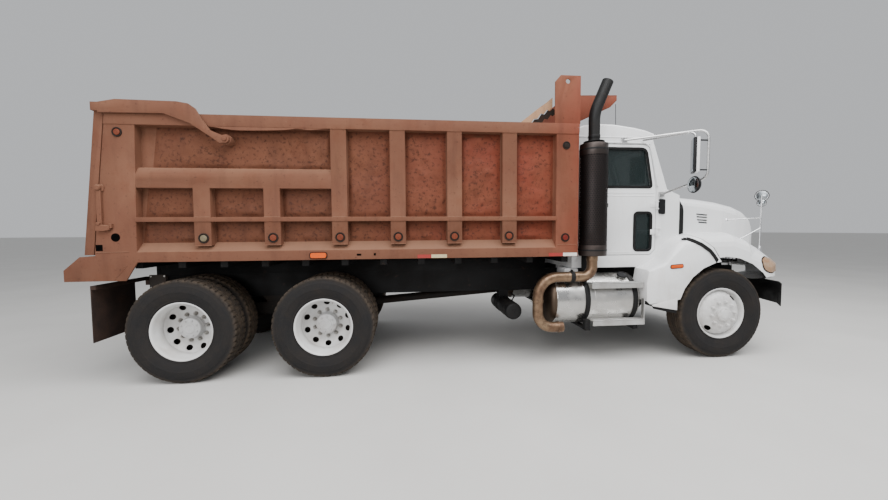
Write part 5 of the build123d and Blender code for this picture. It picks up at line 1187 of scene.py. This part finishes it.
def exhaust():
    maker = Maker()
    place = (STACK_X, STACK_Y, 0)
    body = [(0, 1.232), (0.066, 1.232), (0.07, 1.24), (0.128, 1.248), (0.135, 1.258), (0.135, 1.33),
            (0.1375, 1.334), (0.1375, 1.342), (0.135, 1.346), (0.135, 2.44), (0.13, 2.452), (0.078, 2.462),
            (0.07, 2.474), (0.07, 2.4985), (0, 2.4985)]
    maker.lathe(body, place, UP, STACK, 56)
    for z0, z1 in ((1.222, 1.342), (2.33, 2.455)):
        maker.lathe(clamp(0.1455, 0.1505, z0, z1, 0.002), place, UP, BAND, 64, closed=True)
    for z in (1.285, 2.392):
        maker.lathe([(0.15, z - 0.009), (0.153, z - 0.008), (0.153, z + 0.008), (0.15, z + 0.009)], place,
                    UP, BLACK, 64, closed=True)
        maker.nut((STACK_X - 0.02, STACK_Y + 0.15, z), (0, 1, 0), 0.008, 0.012, NUT)
    guard_sheet(maker, 0.15, 1.338, 2.334, math.radians(125))
    maker.lathe([(0.061, 2.466), (0.096, 2.466), (0.112, 2.48), (0.112, 2.486), (0.08, 2.494),
                 (0.061, 2.494)], place, UP, BLACK, 40, closed=True)
    x0, x1 = STACK_X - 0.055, STACK_X + 0.055
    maker.box(x0, x1, -0.966, -0.444, 1.04, 1.052, BLACK)
    maker.box(x0, x1, -0.446, -RAIL_Y, 0.91, 1.052, BLACK)
    maker.box(x0, x1, -0.968, -0.954, 1.04, 1.352, BLACK)
    maker.prism([(STACK_X - 0.004, -0.96, 1.05), (STACK_X - 0.004, -0.79, 1.05),
                 (STACK_X - 0.004, -0.958, 1.23)], (0.008, 0, 0), BLACK)
    maker.finish("muffler_guard", "chassis", "exhaust_steel", ["muffler"])

    pipes = Maker()
    low = bent([(STACK_X, STACK_Y, 1.2315), (STACK_X, STACK_Y, RUN_Z), (DROP_X, STACK_Y, RUN_Z),
                (DROP_X, STACK_Y, LOW_Z), (1.056, STACK_Y, LOW_Z)], [0.116, 0.225, 0.165], 7.5)
    pipes.tube(low, 0.058, PIPE, 32, wall=0.003)
    stack = bent([(STACK_X, STACK_Y, 2.49), (STACK_X, STACK_Y, 2.8), (STACK_X + 0.15, STACK_Y, 3.15)],
                 [0.42], 3)
    pipes.tube(stack, 0.061, STACK, 40, wall=0.004)
    for origin, axis, r, half, look in (((STACK_X, STACK_Y, 1.19), UP, 0.0585, 0.03, PIPE),
                                        ((1.158, STACK_Y, RUN_Z), AHEAD, 0.0585, 0.024, BLACK),
                                        ((DROP_X, STACK_Y, 0.716), UP, 0.0585, 0.014, PIPE),
                                        ((1.006, STACK_Y, LOW_Z), AHEAD, 0.0585, 0.012, PIPE),
                                        ((STACK_X, STACK_Y, 2.54), UP, 0.0615, 0.016, BLACK)):
        pipes.lathe(clamp(r, r + 0.0045, -half, half, 0.004), origin, axis, look, 36, closed=True)
    pipes.box(1.15, 1.166, STACK_Y - 0.018, STACK_Y + 0.018, 1.045, 1.064, BLACK)
    for y in (STACK_Y - 0.012, STACK_Y + 0.012):
        pipes.nut((DROP_X - 0.068, y, 0.716), (-1, 0, 0), 0.006, 0.009, NUT)
    pipes.finish("exhaust_run", "chassis", "rusty_pipe", ["exhaust_pipes"])


# Cab, doors and hood

def strip(maker, tree, line, width, lift, look, across):
    """A flat band laid on a curved side, along (x, z) points; across points to its other edge."""
    across = Vector(across).normalized() * width
    rows = []
    for p in line:
        p = Vector(p)
        row = []
        for spot, height in ((p, -0.003), (p, lift), (p + across, lift), (p + across, -0.003)):
            hit, normal = laid(tree, spot.x, spot.y)
            row.append(maker.bm.verts.new(hit + normal * height))
        rows.append(row)
    for a, b in zip(rows, rows[1:]):
        for i in range(4):
            j = (i + 1) % 4
            maker.face((a[i], b[i], b[j], a[j]), look)
    maker.face(rows[0][::-1], look)
    maker.face(rows[-1], look)


def dense(points, step=0.02):
    """More points along a polyline."""
    out = []
    for a, b in zip(points, points[1:]):
        a, b = Vector(a), Vector(b)
        count = max(1, int((b - a).length / step))
        out += [a.lerp(b, k / count) for k in range(count)]
    return out + [Vector(points[-1])]


def roof_edges(maker):
    bm = maker.bm
    edges = [e for e in bm.edges
             if all(abs(abs(v.co.y) - CAB_Y) < 0.002 and v.co.z > 2.56 for v in e.verts)
             and len(e.link_faces) == 2 and e.calc_face_angle(0) > 0.5]
    bmesh.ops.bevel(bm, geom=edges, offset=0.045, offset_type="OFFSET", segments=6, profile=0.5,
                    affect="EDGES", clamp_overlap=True, material=-1)


def cab_details():
    soften("cab", 0.008, 3, edit=roof_edges)
    trim = Maker()
    rail = [(1.48, -0.937, 2.524), (2.11, -0.937, 2.524), (2.18, -0.937, 2.49), (2.288, -0.937, 2.02)]
    trim.tube(bent(rail, [0.05, 0.08]), 0.0085, WHITE, 10)
    trim.tube([(1.262, -0.931, 2.585), (2.12, -0.931, 2.585)], 0.006, WHITE, 8)
    trim.tube([(1.262, -CAB_Y, 1.14), (1.54, -CAB_Y, 1.14)], 0.005, WHITE, 8)
    trim.finish("drip_rails", "chassis", "cab_white", both=True)

    glass_seal = Maker()
    n = Vector((0.952, 0, 0.306))

    def slant(points, lift):
        return [Vector((2.413 - (p.y - 1.985) * 0.188 / 0.585, p.x, p.y)) + n * lift for p in points]

    pane = rounded([(-0.835, 2.045), (-0.045, 2.045), (-0.045, 2.51), (-0.835, 2.51)], 0.05, 5)
    glass_seal.hoop(slant(grown(pane, 0.018), -0.004), slant(grown(pane, -0.01), -0.004), n * 0.012, SEAL)
    glass_seal.tube([(2.425, -0.3, 2.03), (2.4, -0.34, 2.11), (2.33, -0.52, 2.33)], 0.006, TRIM, 8)
    glass_seal.tube([(2.405, -0.7, 2.115), (2.318, -0.34, 2.385)], 0.005, TRIM, 8)
    glass_seal.finish("windscreen_seals", "chassis", "black_rubber", both=True)

    stop = Maker()
    leaf = [(1.559, 1.212), (2.211, 1.212), (2.271, 1.272), (2.271, 1.985), (2.179, 2.505), (1.559, 2.505)]
    stop.hoop(at(grown(leaf, 0.022), -0.87), at(grown(leaf, -0.016), -0.87), (0, -0.0125, 0), SEAL)
    stop.finish("door_stops", "chassis", "black_rubber", both=True)
    for word in ("right", "left"):
        soften(f"door_{word}", 0.005)
        seals = Maker()
        pane = rounded([(1.621, 2.015), (2.209, 2.015), (2.133, 2.453), (1.621, 2.453)],
                       [0.03, 0.03, 0.06, 0.03], 5)
        seals.hoop(at(grown(pane, 0.02), -0.926), at(grown(pane, -0.009), -0.926), (0, -0.0085, 0), SEAL)
        if word == "right":
            low = rounded([(2.006, 1.262), (2.216, 1.262), (2.216, 1.71), (2.006, 1.71)], 0.05, 6)
            seals.hoop(at(grown(low, 0.016), -0.92), at(grown(low, -0.014), -0.92), (0, -0.015, 0), SEAL)
        handle = rounded([(1.578, 1.772), (1.672, 1.772), (1.672, 1.822), (1.578, 1.822)], 0.012, 3)
        seals.prism(at(handle, -0.929), (0, -0.01, 0), TRIM)
        seals.tube([(1.588, -0.942, 1.797), (1.66, -0.946, 1.797)], 0.008, TRIM, 10)
        press = Maker()
        for z in (1.905, 1.945):
            press.tube([(1.575, -DOOR_Y, z), (2.255, -DOOR_Y, z)], 0.0045, WHITE, 8)
        press.tube([(1.575, -DOOR_Y, 1.245), (1.95, -DOOR_Y, 1.245)], 0.004, WHITE, 8)
        for one, name, slot in ((seals, "door_seals", "black_rubber"), (press, "door_beads", "cab_white")):
            one.finish(f"{name}_{word}", f"door_{word}", slot, left=word == "left")

    more = Maker()
    more.box(1.165, 1.335, -0.9, -0.66, 0.985, 1.058, WHITE)
    more.bevel(0.016, 3)
    more.lathe([(0, 0), (0.024, 0), (0.024, 0.012), (0.014, 0.018), (0, 0.018)], (1.946, -0.6, 2.715), UP,
               TRIM, 16)
    more.tube([(1.946, -0.6, 2.725), (1.939, -0.6, 3.077)], 0.0035, TRIM, 8)
    vent = rounded([(2.306, 1.695), (2.386, 1.69), (2.386, 1.868), (2.306, 1.872)], 0.014, 3)
    more.prism(at(vent, -0.928), (0, -0.016, 0), TRIM)
    more.finish("cab_extras", "chassis", "cab_white")

    shield = Maker()
    shield.prism(at([(2.78, 0.886), (3.62, 0.886), (3.6, 1.15), (3.4, 1.19), (2.78, 1.19)], -0.446),
                 (0, 0.006, 0), SEAL)
    shield.bevel(0.002, 1)
    shield.finish("splash_shields", "chassis", "black_rubber", both=True)

    gap = Maker()
    outer = [(-0.924, 1.235), (-0.924, 1.735), (-0.905, 1.8), (-0.845, 1.85), (-0.62, 1.9), (-0.3, 1.938),
             (0.0, 1.95)]
    outer += [(-y, z) for y, z in outer[-2::-1]]
    inner = [(y * 0.93, z - (0.0 if z < 1.5 else 0.045)) for y, z in outer]
    gap.prism([(2.5785, y, z) for y, z in outer + inner[::-1]], (0.06, 0, 0), SEAL)
    gap.finish("cowl_seal", "chassis", "black_rubber")


def hood_details():
    tree = surface("hood")
    surround = Maker()
    frame_line = rounded([(-0.462, 1.028), (0.462, 1.028), (0.462, 1.572), (-0.462, 1.572)], 0.05, 6)
    inner_line = [(p.x * 0.93, 1.3 + (p.y - 1.3) * 0.88) for p in frame_line]
    outer_rim, inner_rim = ([(GRILLE_X, y, z) for y, z in line] for line in (frame_line, inner_line))
    surround.hoop(outer_rim, inner_rim, (0.012, 0, 0), CHROME)
    surround.finish("grille_surround", "hood", "polished_chrome")
    marks = Maker()
    for a, b in (((2.862, 1.701), (3.02, 1.69)), ((2.868, 1.669), (3.02, 1.66)),
                 ((2.876, 1.632), (3.02, 1.624)), ((2.897, 1.602), (3.02, 1.594))):
        strip(marks, tree, dense([a, b]), 0.013, 0.004, TRIM, (0, -1))
    almond = [(3.425, 1.15), (3.48, 1.176), (3.56, 1.165), (3.625, 1.11), (3.64, 1.05), (3.6, 1.005),
              (3.52, 1.0), (3.45, 1.045)]
    almond = rounded(almond, 0.05, 4)
    pad(marks, tree, grown(almond, 0.012), 0.004, GROMMET, 3)
    marks.finish("hood_marks", "hood", "lamp_plastic", both=True)
    lens = Maker()
    pad(lens, tree, almond, 0.008, LENS, 4, dome=0.01)
    lens.finish("lamp_covers", "hood", "lamp_plastic", both=True)

    wing = surface("fender_extensions")
    band = Maker()
    line = dense([(2.53, 1.413), (2.556, 1.405), (2.669, 1.347), (2.772, 1.277), (2.824, 1.218),
                  (2.866, 1.159)], 0.03)
    strip(band, wing, line, 0.04, 0.008, SEAL, (-0.55, -0.83))
    skirt = [(2.068, 0.654), (2.243, 0.613), (2.372, 0.59), (2.372, 0.55), (2.243, 0.575), (2.092, 0.612)]
    band.prism(at(skirt, -1.19), (0, 0.012, 0), SEAL)
    band.finish("fender_seal", "chassis", "black_rubber", both=True)
    corner = Maker()
    flank = [(2.056, 0.664), (2.072, 0.662), (2.374, 0.728), (2.374, 0.588), (2.243, 0.611), (2.078, 0.641)]
    corner.prism(at(flank, -1.1957), (0, 0.024, 0), WHITE)
    corner.bevel(0.002, 2)
    corner.finish("fender_corners", "chassis", "cab_white", both=True)
    latch = Maker()
    hit, normal = laid(wing, 2.488, 1.392)
    turn = Matrix.Translation(hit) @ normal.to_track_quat("Z", "Y").to_matrix().to_4x4()
    strap = Maker()
    strap.box(-0.034, 0.034, -0.01, 0.01, -0.003, 0.012, SEAL)
    strap.box(-0.016, 0.016, -0.014, 0.014, 0.006, 0.02, SEAL)
    strap.bevel(0.003, 2)
    latch.add(strap, turn)
    latch.finish("hood_latches", "chassis", "black_rubber", both=True)
    marker = Maker()
    oval = rounded([(2.283, 1.068), (2.43, 1.078), (2.43, 1.112), (2.283, 1.102)], 0.018, 4)
    pad(marker, wing, grown(oval, 0.008), 0.004, GROMMET, 2)
    pad(marker, wing, oval, 0.008, AMBER, 3, dome=0.006)
    marker.finish("fender_markers", "chassis", "lamp_plastic", both=True)


def mirror_sets():
    maker = Maker()
    loop = bent([(1.851, -0.945, 2.55), (2.497, -1.425, 2.562), (2.497, -1.425, 2.06),
                 (2.331, -0.945, 1.925)], [0.09, 0.09], 10)
    maker.tube(loop, 0.013, TUBE, 16)
    maker.tube(bent([(2.08, -0.945, 2.552), (2.385, -1.375, 2.545), (2.385, -1.375, 2.47)], [0.05], 10),
               0.01, TUBE, 12)
    for x, z in ((1.851, 2.55), (2.331, 1.925)):
        maker.box(x - 0.03, x + 0.03, -0.956, -0.9305, z - 0.028, z + 0.028, TUBE)
    for z in (2.448, 2.138):
        maker.box(2.391, 2.5, -1.432, -1.412, z - 0.006, z + 0.006, TRIM)
    head = Maker()
    head.box(-0.03, -0.002, -0.095, 0.095, -0.18, 0.18, TRIM)
    head.box(-0.001, 0.027, -0.095, 0.095, -0.18, 0.18, WHITE)
    head.bevel(0.007, 3)
    head.box(-0.036, -0.029, -0.086, 0.086, -0.171, 0.171, MIRROR)
    turned_in = Matrix.Translation((2.372, -1.4, 2.29)) @ Matrix.Rotation(math.radians(-33), 4, "Z")
    maker.add(head, turned_in)
    for profile, look in (([(0, 0), (0.074, 0), (0.088, 0.006), (0.09, 0.012), (0.08, 0.03), (0.05, 0.046),
                            (0, 0.052)], TRIM),
                          ([(0, 0), (0.078, 0), (0.06, -0.008), (0.03, -0.013), (0, -0.015)], MIRROR)):
        maker.lathe(profile, (2.352, -1.4, 1.985), AHEAD, look, 36)
    maker.finish("mirror_sets", "chassis", "polished_chrome", ["mirrors"], both=True)

    mast = Maker()
    x, y = 3.57, -1.02
    mast.tube([(x, y, 1.238), (x, y, 1.915)], 0.0085, CHROME, 12)
    mast.lathe([(0, 0), (0.024, 0), (0.024, 0.01), (0.014, 0.03), (0.012, 0.07), (0, 0.07)], (x, y, 1.232),
               UP, CHROME, 18)
    for start, z in (((3.257, -0.876, 1.622), 1.64), ((3.262, -0.985, 1.352), 1.52)):
        mast.tube([start, (x, y, z)], 0.006, CHROME, 10)
    for place in ((3.257, -0.87, 1.622), (3.262, -0.98, 1.352)):
        mast.lathe([(0, -0.004), (0.017, -0.004), (0.017, 0.006), (0.009, 0.014), (0, 0.014)], place, OUT,
                   CHROME, 16)
    way = Vector((-0.8, -0.6, 0.0))
    for z, r in ((1.905, 0.068), (1.822, 0.046)):
        spot = Vector((x, y, z)) - way * 0.012
        mast.lathe([(0, -0.04), (r * 0.5, -0.034), (r * 0.88, -0.014), (r, 0.0), (r * 0.96, 0.007),
                    (0, 0.007)], spot, way, CHROME, 32)
        mast.lathe([(r * 0.9, 0.002), (r * 1.02, 0.002), (r * 1.02, 0.01), (r * 0.9, 0.01)], spot, way,
                   TRIM, 32, closed=True)
        mast.lathe([(0, 0.004), (r * 0.93, 0.004), (r * 0.7, 0.012), (r * 0.3, 0.016), (0, 0.017)], spot,
                   way, MIRROR, 32)
    mast.finish("hood_mirror_masts", "hood", "polished_chrome", ["hood_mirrors"], both=True)


tanks()
exhaust()
cab_details()
hood_details()
mirror_sets()
soften("bumper", 0.005)
soften("mud_flaps", 0.003)
soften("fender_extensions", 0.01, 3)


# Stage, light and camera

IMAGE_WIDTH, FOCAL_PIXELS, SENSOR = 888, 368.78, 36.0
CAMERA_PLACE, YAW, PITCH, ROLL = (-0.7025, -5.058, 1.52), -0.1048, -0.0545, -0.0063


def plain_floor():
    t = Tree("pale_floor")
    t.bump(t.noise(30.0, 3), 0.05, 0.002)
    cloud = t.ramp(t.noise(0.8, 3), 0.3, 0.7)
    return t.finish(t.mix(cloud, (0.56, 0.55, 0.53), (0.6, 0.59, 0.57)), 0.85)


bpy.ops.mesh.primitive_plane_add(size=240, location=(0, 0, -0.002))
floor = bpy.context.object
floor.name = "floor"
floor.data.materials.append(plain_floor())

world = bpy.data.worlds.new("soft_sky")
bpy.context.scene.world = world
world.use_nodes = True
sky = world.node_tree.nodes["Background"].inputs
sky["Color"].default_value = (0.9, 0.92, 0.95, 1)
sky["Strength"].default_value = 0.62


def area_light(name, place, target, size, power):
    light = bpy.data.lights.new(name, "AREA")
    light.shape = "RECTANGLE"
    light.size, light.size_y = size
    light.energy = power
    lamp = bpy.data.objects.new(name, light)
    lamp.location = place
    lamp.rotation_euler = (Vector(target) - Vector(place)).to_track_quat("-Z", "Y").to_euler()
    bpy.context.scene.collection.objects.link(lamp)


area_light("sky_panel", (1.5, -4.5, 8.5), (0, 0, 1), (13, 7), 1750)
area_light("side_panel", (-6.0, -10.0, 4.0), (0, 0, 1.5), (6, 4), 420)

camera_data = bpy.data.cameras.new("camera")
camera_data.sensor_width = SENSOR
camera_data.lens = FOCAL_PIXELS / IMAGE_WIDTH * SENSOR
camera = bpy.data.objects.new("camera", camera_data)
turned = (Matrix.Rotation(YAW, 4, "Z") @ Matrix.Rotation(math.pi / 2 + PITCH, 4,
                                                         "X") @ Matrix.Rotation(ROLL, 4, "Z"))
camera.matrix_world = Matrix.Translation(CAMERA_PLACE) @ turned
bpy.context.scene.collection.objects.link(camera)
bpy.context.scene.camera = camera
